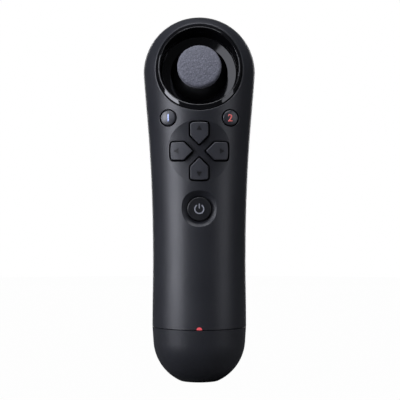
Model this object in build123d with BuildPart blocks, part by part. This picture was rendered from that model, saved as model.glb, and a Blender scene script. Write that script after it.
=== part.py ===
from build123d import *

import os
from functools import lru_cache
from math import acos, atan2, cos, degrees, hypot, radians, sin, sqrt, tan

os.makedirs("parts", exist_ok=True)

# A hand-held navigation controller in millimetres. It stands on its flat base, +Z runs up the grip,
# and the thumb face looks towards -Y. The origin is the middle of the base.

# Outer form of the casing. A drop is measured down from the middle of the head.
overall_length = 138.0
head_radius = 21.2
head_join_angle = 4.1
neck_radius = 19.2
neck_drop = 25.6
thumb_radius = 18.04
thumb_drop = 48.4
waist_radius = 17.67
waist_height = 41.0
seam_radius = 17.85
seam_height = 20.6
base_dome_radius = 17.5
base_flat_radius = 7.4
wall = 2.0
base_thickness = 2.2

# Gaps and roundings shared by many pieces
seam_gap = 0.3
parting_gap = 0.12
fit_gap = 0.15
edge_round = 0.35
tongue_thickness = 0.9
tongue_height = 1.5
tongue_gap = 0.1
pin_gap = 0.05
inner_gap = 0.3

# Dish round the stick. It leans back from the thumb face, and its heights are along its normal.
dish_tilt = 13.0
dish_forward = 14.2
dish_rise = 0.7
dish_mouth_radius = 14.75
dish_hole_radius = 10.7
dish_depth = 10.5
dish_throat_depth = 6.2
dish_floor_angle = 10.0
dish_floor_round = 0.8
dish_wall_draft = 4.0
dish_mouth_rise = 1.5
dish_lip = 0.8
surround_half_width = 15.75
surround_half_height = 16.55
surround_wall = 1.1
surround_ring_depth = 2.6
surround_edge_round = 0.25
post_radius = 1.4
post_offset = 9.9
post_screw_radius = 0.6
post_screw_length = 6.0

# Stick, whose heights are along the dish's normal
stick_cap_radius = 8.2
stick_cap_top = 3.4
stick_cap_height = 3.2
stick_cap_crown = 0.6
stick_cap_round = 1.1
stick_neck_radius = 2.9
stem_radius = 1.8
stem_foot = 2.2
stem_grip = 2.0
dome_radius = 11.5
dome_thickness = 0.8
dome_reach = 83.0
dome_gap = 0.3

# Stick mechanism, measured from the point that the stick turns about
housing_half = 6.2
housing_wall = 0.6
housing_top = 4.8
housing_bottom = 5.0
housing_mouth_radius = 4.2
spindle_radius = 1.1
yoke_half_width = 3.4
yoke_half_length = 2.6
yoke_half_height = 1.2
yoke_slot_half = 2.35
stem_pin_radius = 0.6
arm_half_width = 2.4
arm_low = 2.8
arm_high = 3.5
arm_leg = 4.6
arm_leg_thickness = 0.7
arm_leg_foot = 1.6
arm_slot_half = 3.1
carriage_lug = 4.1
carriage_half_width = 5.4
carriage_half_length = 2.2
carriage_top = 1.9
carriage_floor = 3.0
carriage_floor_thickness = 0.6
carriage_travel = 0.5
potentiometer_half = 4.5
potentiometer_depth = 2.6
potentiometer_top = 1.8
click_radius = 2.0
stick_spring_radius = 3.2
stick_spring_wire = 0.35
stick_spring_turns = 2
stick_board_half = 12.0
stick_board_rise = 11.2
board_thickness = 1.2

# Direction pad
pad_drop = 30.2
pad_arm_half = 3.3
pad_arm_tip = 2.4
pad_arm_end = 10.3
pad_arm_bulge = 0.35
pad_arm_gap = 0.58
pad_arm_corner = 0.9
pad_proud = 0.6
pad_crown_flat = 8.0
pad_edge_round = 0.36
pad_dish_radius = 11.5
pad_dish_depth = 1.1
pad_dish_lip = 1.5
pad_plate_radius = 10.9
pad_plate_back = 10.0
pad_plate_thickness = 1.5
pad_pivot_depth = 14.2
pad_hub_radius = 2.6
pad_hub_gap = 0.8
pad_ball_radius = 1.5
pad_post_radius = 1.9
pad_swing = 4.0
arrow_place = 8.2
arrow_size = 1.3
arrow_depth = 0.25

# Action buttons, one each side above the pad
action_drop = 17.9
action_spread = 11.45
action_radius = 2.8
action_gap = 0.35
action_proud = 1.0
action_crown_radius = 9.5
action_crown_lean = 21.0
action_travel = 0.9
action_flange_radius = 3.4
action_flange_thickness = 0.8
action_back = 8.6
action_edge_round = 0.5

# Home button in its own bevelled recess
home_drop = 51.5
home_radius = 4.4
home_gap = 0.3
home_recess_radius = 6.5
home_recess_depth = 1.9
home_recess_curve = 0.45
home_recess_lip = 1.0
home_backing = 1.2
home_sunk = 0.6
home_travel = 0.6
home_flange_radius = 5.6
home_flange_thickness = 1.0
home_back = 9.0

# Status light, a clear rod in the lower edge of the front case
status_radius = 1.05
status_gap = 0.08
status_proud = 0.12
light_depth = 7.6

# Trigger at the back of the head. Its outline is measured from its pivot, back and up.
trigger_half_width = 10.0
trigger_gap = 0.4
trigger_pivot_back = 14.2
trigger_pivot_rise = 1.4
trigger_reach = 22.0
trigger_top_back = 7.3
trigger_top_up = 1.4
trigger_waist_back = 11.0
trigger_waist_down = 7.4
trigger_tip_back = 19.0
trigger_tip_down = 18.4
trigger_tip_thickness = 2.0
trigger_under_back = 10.2
trigger_front_angle = 80.6
trigger_wall = 1.6
trigger_edge_round = 0.6
trigger_hub_radius = 2.0
trigger_hub_length = 2.0
trigger_pin_radius = 1.0

# Bumper above the trigger. It moves along a line through the middle of the head.
bumper_tilt = 30.0
bumper_half_width = 9.5
bumper_half_height = 4.4
bumper_corner = 2.2
bumper_proud = 0.9
bumper_gap = 0.3
bumper_travel = 1.0
bumper_wall = 1.4
bumper_skirt = 16.6
bumper_post_radius = 1.5
bumper_edge_round = 0.5
bumper_tab_half = 4.0
bumper_tab_reach = 1.1
bumper_tab_thickness = 1.0

# Bracket behind the stick that carries the trigger's pin and the bumper's switch
bracket_front = 11.6
bracket_thickness = 1.2
bracket_neck_half = 3.4
bracket_ear_inner = 6.6
bracket_ear_thickness = 1.2
bracket_foot_half = 11.0
bracket_low_drop = 27.0
bracket_wide_drop = 9.0
bracket_shoulder_drop = 1.6
bracket_screw_radius = 0.8
bracket_screw_low_x = 9.2
bracket_screw_low_drop = 24.6
bracket_screw_high_drop = 6.8
bracket_screw_depth = 2.4
bracket_boss_radius = 1.4
switch_seat = 13.6
switch_height = 2.6
switch_half_width = 3.0
switch_half_length = 2.1
switch_key_radius = 1.2
spring_wire = 0.4
spring_coil_radius = 2.1
spring_pitch = 0.85
spring_start = 3.8
spring_start_angle = 200.0
spring_end_angle = 30.0
spring_whole_turns = 2
spring_foot_length = 5.0
spring_leg_length = 7.0
spring_rest_height = 3.0
spring_rest_start = 2.8
sensor_half = 3.0
sensor_height = 6.0
sensor_thickness = 1.4
sensor_drop = 12.0

# Main board, keypad and battery
board_front = 6.5
board_bottom = 22.2
board_half = 9.4
board_wide_half = 13.6
board_top_drop = 15.6
board_step_drop = 25.5
board_post_x = 6.6
board_post_low = 31.5
board_post_radius = 1.6
board_screw_radius = 0.6
board_screw_depth = 6.0
processor_size = 7.0
processor_height = 0.9
processor_place = 52.0
shield_width = 12.0
shield_length = 14.0
shield_height = 1.8
shield_place = 43.0
chip_height = 0.8
chip_count = 7
chip_spacing = 2.4
chip_row_height = 54.0
keypad_thickness = 0.6
keypad_gap = 0.05
keypad_home_half = 4.7
keypad_pad_half = 9.2
keypad_action_half = 13.4
keypad_key_radius = 1.8
pad_key_place = 7.2
battery_half_width = 7.8
battery_thickness = 7.6
battery_front = 1.2
battery_bottom = 29.6
battery_length = 42.0
tray_wall = 0.9
tray_floor = 1.0
tray_gap = 0.2
tray_side = 4.0
lead_radius = 0.5
lead_bend = 3.0
lead_x = 1.2
plug_half_width = 2.6
plug_height = 3.0
socket_depth = 3.0
plug_drop = 34.4
ribbon_half = 4.0
ribbon_thickness = 0.2
ribbon_bend = 1.6
ribbon_overlap = 2.5

# Screws that join the case halves, put in from the back
screw_x = 12.4
screw_low = 34.0
screw_high_drop = 40.5
screw_radius = 1.0
screw_head_radius = 1.9
screw_head_height = 1.3
screw_length = 7.5
screw_slack = 0.03
boss_radius = 2.3
boss_meet = 3.0
seat_thickness = 1.8
seat_wall = 1.0
well_gap = 0.3
small_head_radius = 1.2
small_head_height = 0.8

# Collar of the bottom cap, USB socket and charging contacts
collar_height = 3.2
collar_wall = 1.2
usb_half_width = 3.85
usb_half_depth = 1.95
usb_shell = 0.3
usb_length = 9.2
usb_recess = 0.5
usb_corner = 0.6
usb_tongue_half = 2.6
usb_tongue_thickness = 0.7
port_gap = 0.3
usb_board_half = 7.5
usb_guide_depth = 1.2
usb_guide_top = 12.0
usb_board_bottom = 4.2
usb_board_top = 19.5
contact_x = 2.6
contact_y = 4.5
contact_half_width = 1.0
contact_half_depth = 0.65
contact_recess = 0.15
contact_head = 0.4
contact_length = 6.0

# Places worked out from the driving dimensions
head_z = overall_length - head_radius
base_dome_z = sqrt(base_dome_radius**2 - base_flat_radius**2)
pad_z = head_z - pad_drop
action_z = head_z - action_drop
home_z = head_z - home_drop
action_places = [(-action_spread, action_z), (action_spread, action_z)]
screw_high = head_z - screw_high_drop
board_top = head_z - board_top_drop
board_step = head_z - board_step_drop
board_post_high = battery_bottom + battery_length - board_post_radius
board_back = board_front - board_thickness
case_screw_places = [(x, z) for x in (-screw_x, screw_x) for z in (screw_low, screw_high)]
board_post_heights = (board_post_low, board_post_high)
board_screw_places = [(x, z) for x in (-board_post_x, board_post_x) for z in board_post_heights]
tilt = radians(dish_tilt)
dish_floor_slope = tan(radians(dish_floor_angle))
dish_wall_slope = tan(radians(dish_wall_draft))
dish_wall_height = dish_mouth_rise + dish_throat_depth
dish_floor_run = dish_mouth_radius - dish_hole_radius - dish_wall_height * dish_wall_slope
dish_floor_width = dish_floor_run / (1 - dish_floor_slope * dish_wall_slope)
dish_floor_edge = dish_throat_depth - dish_floor_width * dish_floor_slope
dish_normal = Vector(0, -cos(tilt), sin(tilt))
dish_centre = Vector(0, -dish_forward, head_z + dish_rise)
dish_plane = Plane(origin=dish_centre, x_dir=(1, 0, 0), z_dir=dish_normal)
dish_section = Plane(origin=dish_centre, x_dir=(1, 0, 0), z_dir=(0, -sin(tilt), -cos(tilt)))
pivot_below_hole = sqrt((dome_radius + dome_gap) ** 2 - dish_hole_radius**2)
pivot_depth = dish_depth + dish_lip + pivot_below_hole
stick_plane = dish_plane.offset(-pivot_depth)
stick_pivot = stick_plane.origin
stick_section = Plane(origin=stick_pivot, x_dir=(1, 0, 0), z_dir=dish_section.z_dir)
post_places = [(x, u) for x in (-post_offset, post_offset) for u in (-post_offset, post_offset)]
trigger_y = trigger_pivot_back
trigger_z = head_z + trigger_pivot_rise
trigger_tip_high = (trigger_tip_back, -trigger_tip_down)
trigger_tip_low = (trigger_tip_back, -trigger_tip_down - trigger_tip_thickness)
trigger_top = (trigger_top_back, trigger_top_up)
trigger_waist = (trigger_waist_back, -trigger_waist_down)
trigger_back = Edge.make_spline([Vector(*p) for p in (trigger_tip_high, trigger_waist, trigger_top)])
trigger_root_angle = trigger_front_angle - degrees(acos(trigger_under_back / trigger_reach))
bumper_lean = radians(bumper_tilt)
bumper_normal = Vector(0, cos(bumper_lean), sin(bumper_lean))
bumper_plane = Plane(origin=(0, 0, head_z), x_dir=(-1, 0, 0), z_dir=bumper_normal)
bracket_back = bracket_front + bracket_thickness
bracket_low = head_z - bracket_low_drop
bracket_neck_top = head_z + (switch_seat - bracket_back * cos(bumper_lean)) / sin(bumper_lean)
bracket_screw_high_x = trigger_half_width + trigger_gap / 2 + bracket_boss_radius
bracket_half_width = bracket_screw_high_x + bracket_boss_radius
bracket_screw_low = head_z - bracket_screw_low_drop
bracket_screw_high = head_z - bracket_screw_high_drop
bracket_screw_places = [
    (-bracket_screw_low_x, bracket_screw_low),
    (bracket_screw_low_x, bracket_screw_low),
    (-bracket_screw_high_x, bracket_screw_high),
    (bracket_screw_high_x, bracket_screw_high),
]
tray_back = battery_front + 2 * fit_gap + small_head_height
plug_z = head_z - plug_drop
far = 3 * head_radius
LOW = (Align.CENTER, Align.CENTER, Align.MIN)
HIGH = (Align.CENTER, Align.CENTER, Align.MAX)


def save(piece, name):
    """Label a finished piece and write it to its own file."""
    piece.label = name
    export_step(piece, f"parts/{name}.step")


def upright(depth):
    """A plane parallel to the thumb face at y = -depth: X across, Z up, normal to the front."""
    return Plane.XZ.offset(depth)


def sideways(x):
    """A plane square to X whose sketch axes are Y and Z."""
    return Plane.YZ.offset(x)


@lru_cache(maxsize=None)
def casing(inset):
    """The whole outer form as one solid of revolution, with its surface moved inwards by inset."""
    dome = base_dome_radius - inset
    head = head_radius - inset
    flat = sqrt(dome**2 - (base_dome_z - inset) ** 2)
    flat_angle = degrees(atan2(inset - base_dome_z, flat))
    seam = (seam_radius - inset, seam_height)
    above_dome = seam_height - base_dome_z
    touch_angle = degrees(atan2(above_dome, seam[0]) - acos(dome / hypot(seam[0], above_dome)))
    join = radians(head_join_angle)
    with BuildPart() as form:
        with BuildSketch(Plane.XZ):
            with BuildLine():
                floor = Line((0, inset), (flat, inset))
                dome_arc = CenterArc((0, base_dome_z), dome, flat_angle, touch_angle - flat_angle)
                Line(dome_arc @ 1, seam)
                head_arc = CenterArc((0, head_z), head, -head_join_angle, 90 + head_join_angle)
                Spline(
                    seam,
                    (waist_radius - inset, waist_height),
                    (thumb_radius - inset, head_z - thumb_drop),
                    (neck_radius - inset, head_z - neck_drop),
                    head_arc @ 0,
                    tangents=((0, 1), (sin(join), cos(join))),
                )
                Line(head_arc @ 1, floor @ 0)
            make_face()
        revolve(axis=Axis.Z)
    return form.part


def on_skin(edges, inset):
    """Those edges whose middle lies on the casing's surface moved inwards by inset."""
    faces = casing(inset).faces()
    return ShapeList(e for e in edges if min(f.distance_to(Vertex(*(e @ 0.5))) for f in faces) < 0.02)


def skin_reach(x, z, inset):
    """How far in front of the grip's middle plane the casing's surface lies at a given x and z."""
    ray = Edge.make_line((x, -far, z), (x, 0, z))
    return -(casing(inset) & ray).bounding_box().min.Y


def turned(point, angle):
    """A flat point turned about the flat origin by an angle in degrees."""
    a = radians(angle)
    return (point[0] * cos(a) - point[1] * sin(a), point[0] * sin(a) + point[1] * cos(a))


def arm_faces(grow):
    """The four pointed arms of the direction pad, larger all round by grow."""
    half = pad_arm_half + grow
    tip = pad_arm_tip - grow * sqrt(2)
    end = pad_arm_end + grow
    with BuildSketch() as arms:
        for angle in (0, 90, 180, 270):
            corners = [(end, -half), (tip + half, -half), (tip, 0), (tip + half, half), (end, half)]
            with BuildLine():
                sides = Polyline(*[turned(p, angle) for p in corners])
                ThreePointArc(sides @ 1, turned((end + pad_arm_bulge, 0), angle), sides @ 0)
            make_face()
        fillet([v for v in arms.vertices() if hypot(v.X, v.Y) > pad_arm_end], pad_arm_corner + grow)
        inner = [v for v in arms.vertices() if hypot(v.X, v.Y) < hypot(tip + half, half) + grow]
        fillet(inner, pad_arm_corner / 2)
    return arms.sketch


def trigger_side():
    """The trigger's outline seen from the side, with its pivot at the sketch's origin."""
    with BuildSketch() as outline:
        with BuildLine():
            root = CenterArc((0, 0), trigger_reach, -trigger_front_angle, trigger_root_angle)
            Polyline(root @ 1, trigger_tip_low, trigger_tip_high)
            add(trigger_back)
            Polyline(trigger_top, (0, trigger_top_up), (-trigger_hub_radius / 2, 0), root @ 0)
        make_face()
        fillet(outline.vertices().group_by(Axis.X)[-1], 0.45 * trigger_tip_thickness)
    return outline.sketch


def trigger_room():
    """The trigger's hollow seen from the side, one wall inside its outline behind, above and below."""
    places = (0, 0.25, 0.5, 0.75, 1)
    inwards = [Vector(-(trigger_back % t).Y, (trigger_back % t).X) * trigger_wall for t in places]
    ceiling = trigger_top_up - trigger_wall
    with BuildSketch() as room:
        with BuildLine():
            behind = Spline(*[trigger_back @ t + step for t, step in zip(places, inwards)])
            Polyline(
                behind @ 1,
                (0, (behind @ 1).Y),
                (0, -trigger_reach),
                ((behind @ 0).X, -trigger_reach),
                behind @ 0,
            )
        make_face()
        with BuildLine():
            root = CenterArc((0, 0), trigger_reach - trigger_wall, -trigger_front_angle, trigger_root_angle)
            Polyline(
                root @ 1,
                (trigger_tip_back, trigger_tip_low[1] + trigger_wall),
                (trigger_tip_back, ceiling),
                (0, ceiling),
                (0, (root @ 0).Y),
                root @ 0,
            )
        make_face(mode=Mode.INTERSECT)
    return room.sketch


def disc(plane, places, radius, amount):
    """Round bars of one radius standing on a plane at each of the places."""
    with BuildPart() as bars:
        with BuildSketch(plane):
            with Locations(*places):
                Circle(radius)
        extrude(amount=amount)
    return bars.part


# Front case, the half shell with the thumb face. Its tongue goes inside the rear case.
with BuildPart() as front_tongue:
    add(casing(wall - tongue_thickness))
    add(casing(wall), mode=Mode.SUBTRACT)
    with Locations((0, (tongue_height - wall) / 2, overall_length / 2)):
        Box(far, tongue_height + wall, 2 * overall_length, mode=Mode.INTERSECT)

home_reach = skin_reach(0, home_z, 0.0)
with BuildPart() as front_bosses:
    add(disc(upright(-boss_meet), case_screw_places, boss_radius, far))
    add(disc(upright(board_front), board_screw_places, board_post_radius, far))
    add(disc(upright(pad_pivot_depth + pad_hub_gap / 2), [(0, pad_z)], pad_post_radius, far))
    home_boss_back = home_reach - home_recess_depth - home_backing
    add(disc(upright(home_boss_back), [(0, home_z)], home_recess_radius, far))
    add(casing(wall / 2), mode=Mode.INTERSECT)

# The pad's field is a saddle, hollow upwards and flatter than the casing across, whose edge lies on
# the casing on a circle
pad_reach = skin_reach(0, pad_z, 0.0)
pad_field_fall = pad_reach - pad_dish_depth - sqrt(pad_reach**2 - pad_dish_radius**2)
pad_field_waist = (pad_dish_radius**2 + pad_field_fall**2) / (2 * pad_field_fall)
pad_field_shift = pad_field_waist - pad_reach + pad_dish_depth
pad_field_low = skin_reach(0, pad_z - pad_dish_radius, 0.0) + pad_field_shift
pad_field_high = skin_reach(0, pad_z + pad_dish_radius, 0.0) + pad_field_shift
with BuildPart() as pad_saddle:
    with BuildSketch(Plane.XZ):
        with BuildLine():
            hollow = ThreePointArc(
                (pad_field_low, pad_z - pad_dish_radius),
                (pad_field_waist, pad_z),
                (pad_field_high, pad_z + pad_dish_radius),
            )
            low_end = hollow @ 0 - hollow % 0 * (pad_dish_lip + 1)
            high_end = hollow @ 1 + hollow % 1 * (pad_dish_lip + 1)
            Polyline(hollow @ 0, low_end, (0, low_end.Y), (0, high_end.Y), high_end, hollow @ 1)
        make_face()
    revolve(axis=Axis.Z)

with BuildPart() as pad_field:
    with Locations((0, 0, pad_z)):
        Box(
            2 * (pad_dish_radius + pad_dish_lip),
            far,
            2 * (pad_dish_radius + pad_dish_lip),
            align=(Align.CENTER, Align.MAX, Align.CENTER),
        )
    with Locations((0, pad_field_shift, 0)):
        add(pad_saddle.part, mode=Mode.SUBTRACT)

# The home button's recess, a hollow ring wall whose edge lies on the casing on a circle
home_ring = home_radius + home_gap
home_recess_width = home_recess_radius - home_ring
home_side_fall = home_reach - sqrt(home_reach**2 - home_recess_radius**2)
home_side_run = home_recess_width / (home_recess_depth - home_side_fall)
home_end_run = (1 - home_recess_curve) * home_recess_width / home_side_fall
with BuildPart() as home_recess:
    with BuildSketch(upright(home_reach - home_recess_depth)):
        with Locations((0, home_z)):
            Circle(home_ring)
    with BuildSketch(upright(home_reach - home_side_fall)):
        with Locations((0, home_z)):
            Ellipse(home_recess_radius, home_ring + home_recess_curve * home_recess_width)
    with BuildSketch(upright(home_reach + home_recess_lip)):
        with Locations((0, home_z)):
            Ellipse(
                home_recess_radius + home_side_run * (home_side_fall + home_recess_lip),
                home_recess_radius + home_end_run * home_recess_lip,
            )
    loft()

with BuildPart() as front_case:
    add(casing(0.0))
    add(casing(wall), mode=Mode.SUBTRACT)
    split(bisect_by=upright(-parting_gap / 2), keep=Keep.TOP)
    add(front_tongue.part)
    add(front_bosses.part)
    add(disc(upright(-boss_meet), case_screw_places, screw_radius, screw_length), mode=Mode.SUBTRACT)
    add(
        disc(upright(board_front), board_screw_places, board_screw_radius, board_screw_depth),
        mode=Mode.SUBTRACT,
    )
    with Locations((0, -pad_pivot_depth, pad_z)):
        Sphere(pad_ball_radius + pin_gap, mode=Mode.SUBTRACT)
    # The mouth for the dish
    with BuildSketch(dish_plane.offset(-2 * surround_ring_depth)):
        Ellipse(surround_half_width + fit_gap, surround_half_height + fit_gap)
    extrude(amount=far, mode=Mode.SUBTRACT)
    fillet(on_skin(front_case.edges(Select.LAST), 0.0), edge_round)
    # The shallow round field of the pad, and the openings for its arms
    add(pad_field.part, mode=Mode.SUBTRACT)
    with BuildSketch(upright(pad_plate_back + pad_plate_thickness)):
        with Locations((0, pad_z)):
            add(arm_faces(pad_arm_gap))
    extrude(amount=far, mode=Mode.SUBTRACT)
    # Holes for the action buttons
    add(disc(upright(0), action_places, action_radius + action_gap, far), mode=Mode.SUBTRACT)
    fillet(on_skin(front_case.edges(Select.LAST), 0.0), edge_round / 2)
    # The home button's hole and hollow recess
    add(disc(upright(0), [(0, home_z)], home_ring, far), mode=Mode.SUBTRACT)
    add(home_recess.part, mode=Mode.SUBTRACT)
    fillet(on_skin(front_case.edges(Select.LAST), 0.0), edge_round / 2)
    # The notch for the status light, then the lower edge along the seam
    add(disc(upright(0), [(0, seam_height)], status_radius + status_gap, far), mode=Mode.SUBTRACT)
    split(bisect_by=Plane.XY.offset(seam_height + seam_gap / 2), keep=Keep.TOP)
save(front_case.part, "front_case")

# Rear case, the half shell behind. It has the openings for trigger and bumper, and the screw wells.
with BuildPart() as rear_bosses:
    add(disc(upright(-boss_meet), case_screw_places, screw_head_radius + well_gap + seat_wall, -far))
    add(disc(upright(-bracket_back), bracket_screw_places, bracket_boss_radius, -far))
    add(casing(wall / 2), mode=Mode.INTERSECT)

with BuildPart() as tongue_room:
    add(casing(wall - tongue_thickness - tongue_gap))
    with Locations((0, (tongue_height + tongue_gap - wall) / 2, overall_length / 2)):
        Box(far, tongue_height + tongue_gap + wall, 2 * overall_length, mode=Mode.INTERSECT)

trigger_opening_low = trigger_z - trigger_reach - trigger_gap
trigger_opening_high = trigger_z + trigger_top_up + trigger_gap
with BuildPart() as rear_case:
    add(casing(0.0))
    add(casing(wall), mode=Mode.SUBTRACT)
    split(bisect_by=upright(-parting_gap / 2), keep=Keep.BOTTOM)
    add(tongue_room.part, mode=Mode.SUBTRACT)
    # The opening that the trigger swings in
    with BuildSketch(upright(-trigger_y)):
        with Locations((0, (trigger_opening_low + trigger_opening_high) / 2)):
            RectangleRounded(
                2 * (trigger_half_width + trigger_gap),
                trigger_opening_high - trigger_opening_low,
                trigger_edge_round,
            )
    extrude(amount=-far, mode=Mode.SUBTRACT)
    fillet(on_skin(rear_case.edges(Select.LAST), 0.0), edge_round)
    # The opening that the bumper slides in
    with BuildSketch(bumper_plane.offset(bumper_skirt - 3 * bumper_wall)):
        RectangleRounded(
            2 * (bumper_half_width + bumper_gap),
            2 * (bumper_half_height + bumper_gap),
            bumper_corner + bumper_gap,
        )
    extrude(amount=far, mode=Mode.SUBTRACT)
    fillet(on_skin(rear_case.edges(Select.LAST), 0.0), edge_round)
    add(rear_bosses.part)
    add(disc(upright(-boss_meet), case_screw_places, screw_radius + well_gap / 2, -far), mode=Mode.SUBTRACT)
    add(
        disc(upright(-boss_meet - seat_thickness), case_screw_places, screw_head_radius + well_gap, -far),
        mode=Mode.SUBTRACT,
    )
    add(
        disc(upright(-bracket_back), bracket_screw_places, bracket_screw_radius, -bracket_screw_depth),
        mode=Mode.SUBTRACT,
    )
    split(bisect_by=Plane.XY.offset(seam_height + seam_gap / 2), keep=Keep.TOP)
save(rear_case.part, "rear_case")

# Bottom cap, with a collar that goes up inside the two halves
with BuildPart() as collar:
    add(casing(wall + tongue_gap))
    add(casing(wall + tongue_gap + collar_wall), mode=Mode.SUBTRACT)
    with Locations((0, 0, seam_height - collar_height)):
        Box(far, far, 2 * collar_height, align=LOW, mode=Mode.INTERSECT)

with BuildPart() as collar_root:
    add(casing(base_thickness / 2))
    add(casing(wall + tongue_gap + collar_wall), mode=Mode.SUBTRACT)
    with Locations((0, 0, seam_height - collar_height)):
        Box(far, far, collar_height - seam_gap / 2, align=LOW, mode=Mode.INTERSECT)

with BuildPart() as board_guides:
    with Locations((0, usb_half_depth + board_thickness / 2, base_thickness / 2)):
        Box(
            2 * (usb_board_half + usb_guide_depth),
            board_thickness + 2 * (fit_gap + usb_guide_depth),
            usb_guide_top - base_thickness / 2,
            align=LOW,
        )
        Box(
            2 * (usb_board_half - usb_guide_depth),
            far,
            usb_guide_top,
            align=LOW,
            mode=Mode.SUBTRACT,
        )
    with Locations((0, usb_half_depth + board_thickness / 2, usb_board_bottom - fit_gap)):
        Box(
            2 * (usb_board_half + fit_gap),
            board_thickness + 2 * fit_gap,
            usb_guide_top,
            align=LOW,
            mode=Mode.SUBTRACT,
        )
    add(casing(base_thickness / 2), mode=Mode.INTERSECT)

with BuildPart() as light_notch:
    add(disc(upright(0), [(0, seam_height)], status_radius + 3 * status_gap, far))
    split(bisect_by=Plane.XY.offset(seam_height - seam_gap / 2), keep=Keep.TOP)

with BuildPart() as bottom_cap:
    add(casing(0.0))
    add(casing(base_thickness), mode=Mode.SUBTRACT)
    split(bisect_by=Plane.XY.offset(seam_height - seam_gap / 2), keep=Keep.BOTTOM)
    add(collar.part)
    add(collar_root.part)
    add(board_guides.part)
    with BuildSketch(Plane.XY):
        RectangleRounded(2 * (usb_half_width + port_gap), 2 * (usb_half_depth + port_gap), 1.0)
        with Locations((-contact_x, contact_y), (contact_x, contact_y)):
            Rectangle(2 * (contact_half_width + tongue_gap), 2 * (contact_half_depth + tongue_gap))
    extrude(amount=2 * base_thickness, mode=Mode.SUBTRACT)
    add(light_notch.part, mode=Mode.SUBTRACT)
save(bottom_cap.part, "bottom_cap")

# Surround, the gloss ring and funnel round the stick, with four posts for the stick's board
with BuildPart() as funnel_room:
    with BuildSketch(dish_section) as section:
        with BuildLine():
            Polyline(
                (dish_hole_radius, -dish_throat_depth),
                (dish_hole_radius + dish_floor_width, -dish_floor_edge),
                (dish_mouth_radius, dish_mouth_rise),
                (dish_mouth_radius, far),
                (0, far),
                (0, -far),
                (dish_hole_radius, -far),
                close=True,
            )
        make_face()
        floor_corner = (dish_hole_radius + dish_floor_width, -dish_floor_edge, 0)
        fillet(section.vertices().sort_by_distance(floor_corner)[0], dish_floor_round)
    revolve(axis=Axis(dish_centre, dish_normal))

with BuildPart() as surround_posts:
    with BuildSketch(stick_plane.offset(-housing_bottom)):
        with Locations(*post_places):
            Circle(post_radius)
    extrude(amount=pivot_depth + housing_bottom - surround_ring_depth)

with BuildPart() as surround:
    with BuildSketch(dish_plane.offset(-surround_ring_depth)):
        Ellipse(surround_half_width, surround_half_height)
    extrude(amount=far)
    # The funnel's outside, down to its floor and on to its lip
    with BuildSketch(dish_plane.offset(-dish_throat_depth - surround_wall)):
        Circle(dish_hole_radius + dish_floor_width + surround_wall)
    with BuildSketch(dish_plane.offset(-surround_ring_depth)):
        Circle(dish_mouth_radius + surround_wall / 2)
    loft()
    with BuildSketch(dish_plane.offset(-dish_depth - dish_lip)):
        Circle(dish_hole_radius + surround_wall)
    extrude(amount=dish_depth + dish_lip - dish_throat_depth)
    add(surround_posts.part)
    add(casing(0.0), mode=Mode.INTERSECT)
    add(funnel_room.part, mode=Mode.SUBTRACT)
    fillet(on_skin(surround.edges(), 0.0), surround_edge_round)
    with BuildSketch(stick_plane.offset(-housing_bottom)):
        with Locations(*post_places):
            Circle(post_screw_radius)
    extrude(amount=post_screw_length, mode=Mode.SUBTRACT)
save(surround.part, "stick_surround")

# Stick cap, the rubber pad for the thumb
cap_foot = stick_cap_top - stick_cap_height
crown_radius = (stick_cap_radius**2 + stick_cap_crown**2) / (2 * stick_cap_crown)
with BuildPart() as stick_cap:
    with BuildSketch(dish_section) as cap_profile:
        with BuildLine():
            crown_edge = (stick_cap_radius, stick_cap_top - stick_cap_crown)
            crown = RadiusArc((0, stick_cap_top), crown_edge, crown_radius)
            Polyline(crown @ 1, (stick_cap_radius, cap_foot), (0, cap_foot), crown @ 0)
        make_face()
        fillet(cap_profile.vertices().group_by(Axis.X)[-1].sort_by(Axis.Y)[-1], stick_cap_round)
        fillet(cap_profile.vertices().group_by(Axis.X)[-1].sort_by(Axis.Y)[0], edge_round)
    revolve(axis=Axis(dish_centre, dish_normal))
    with BuildSketch(dish_plane.offset(cap_foot)):
        Circle(stem_radius)
    extrude(amount=stem_grip, mode=Mode.SUBTRACT)
save(stick_cap.part, "stick_cap")

# Stick stem, which carries the cap and turns on its pin inside the yoke
with BuildPart() as stick_stem:
    with BuildSketch(stick_plane.offset(-stem_foot)):
        Circle(stem_radius)
    extrude(amount=stem_foot + pivot_depth + cap_foot + stem_grip)
    with BuildSketch(stick_plane.offset(dome_radius - dome_thickness / 2)):
        Circle(stick_neck_radius)
    extrude(amount=pivot_depth + cap_foot - dome_radius + dome_thickness / 2)
    with Locations(stick_plane.location * Rotation(90, 0, 0)):
        Cylinder(stem_pin_radius, 2 * stem_radius + 1, mode=Mode.SUBTRACT)
save(stick_stem.part, "stick_stem")

# The pin lies along the dish's upward direction, through the yoke and the stem
with BuildPart() as stem_pin:
    with Locations(stick_plane.location * Rotation(90, 0, 0)):
        Cylinder(stem_pin_radius, 2 * yoke_half_length - 2 * pin_gap)
save(stem_pin.part, "stem_pin")

# Dust dome, a skirt round the stem that keeps the hole in the dish closed as the stick leans
with BuildPart() as dust_dome:
    with BuildSketch(stick_section):
        with BuildLine():
            outer = CenterArc((0, 0), dome_radius, 90 - dome_reach, dome_reach)
            inner = CenterArc((0, 0), dome_radius - dome_thickness, 90 - dome_reach, dome_reach)
            Line(outer @ 0, inner @ 0)
            Line(outer @ 1, inner @ 1)
        make_face()
    revolve(axis=Axis(stick_pivot, dish_normal))
    with BuildSketch(stick_plane):
        Circle(stick_neck_radius)
    extrude(amount=pivot_depth, mode=Mode.SUBTRACT)
save(dust_dome.part, "stick_dust_dome")

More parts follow.
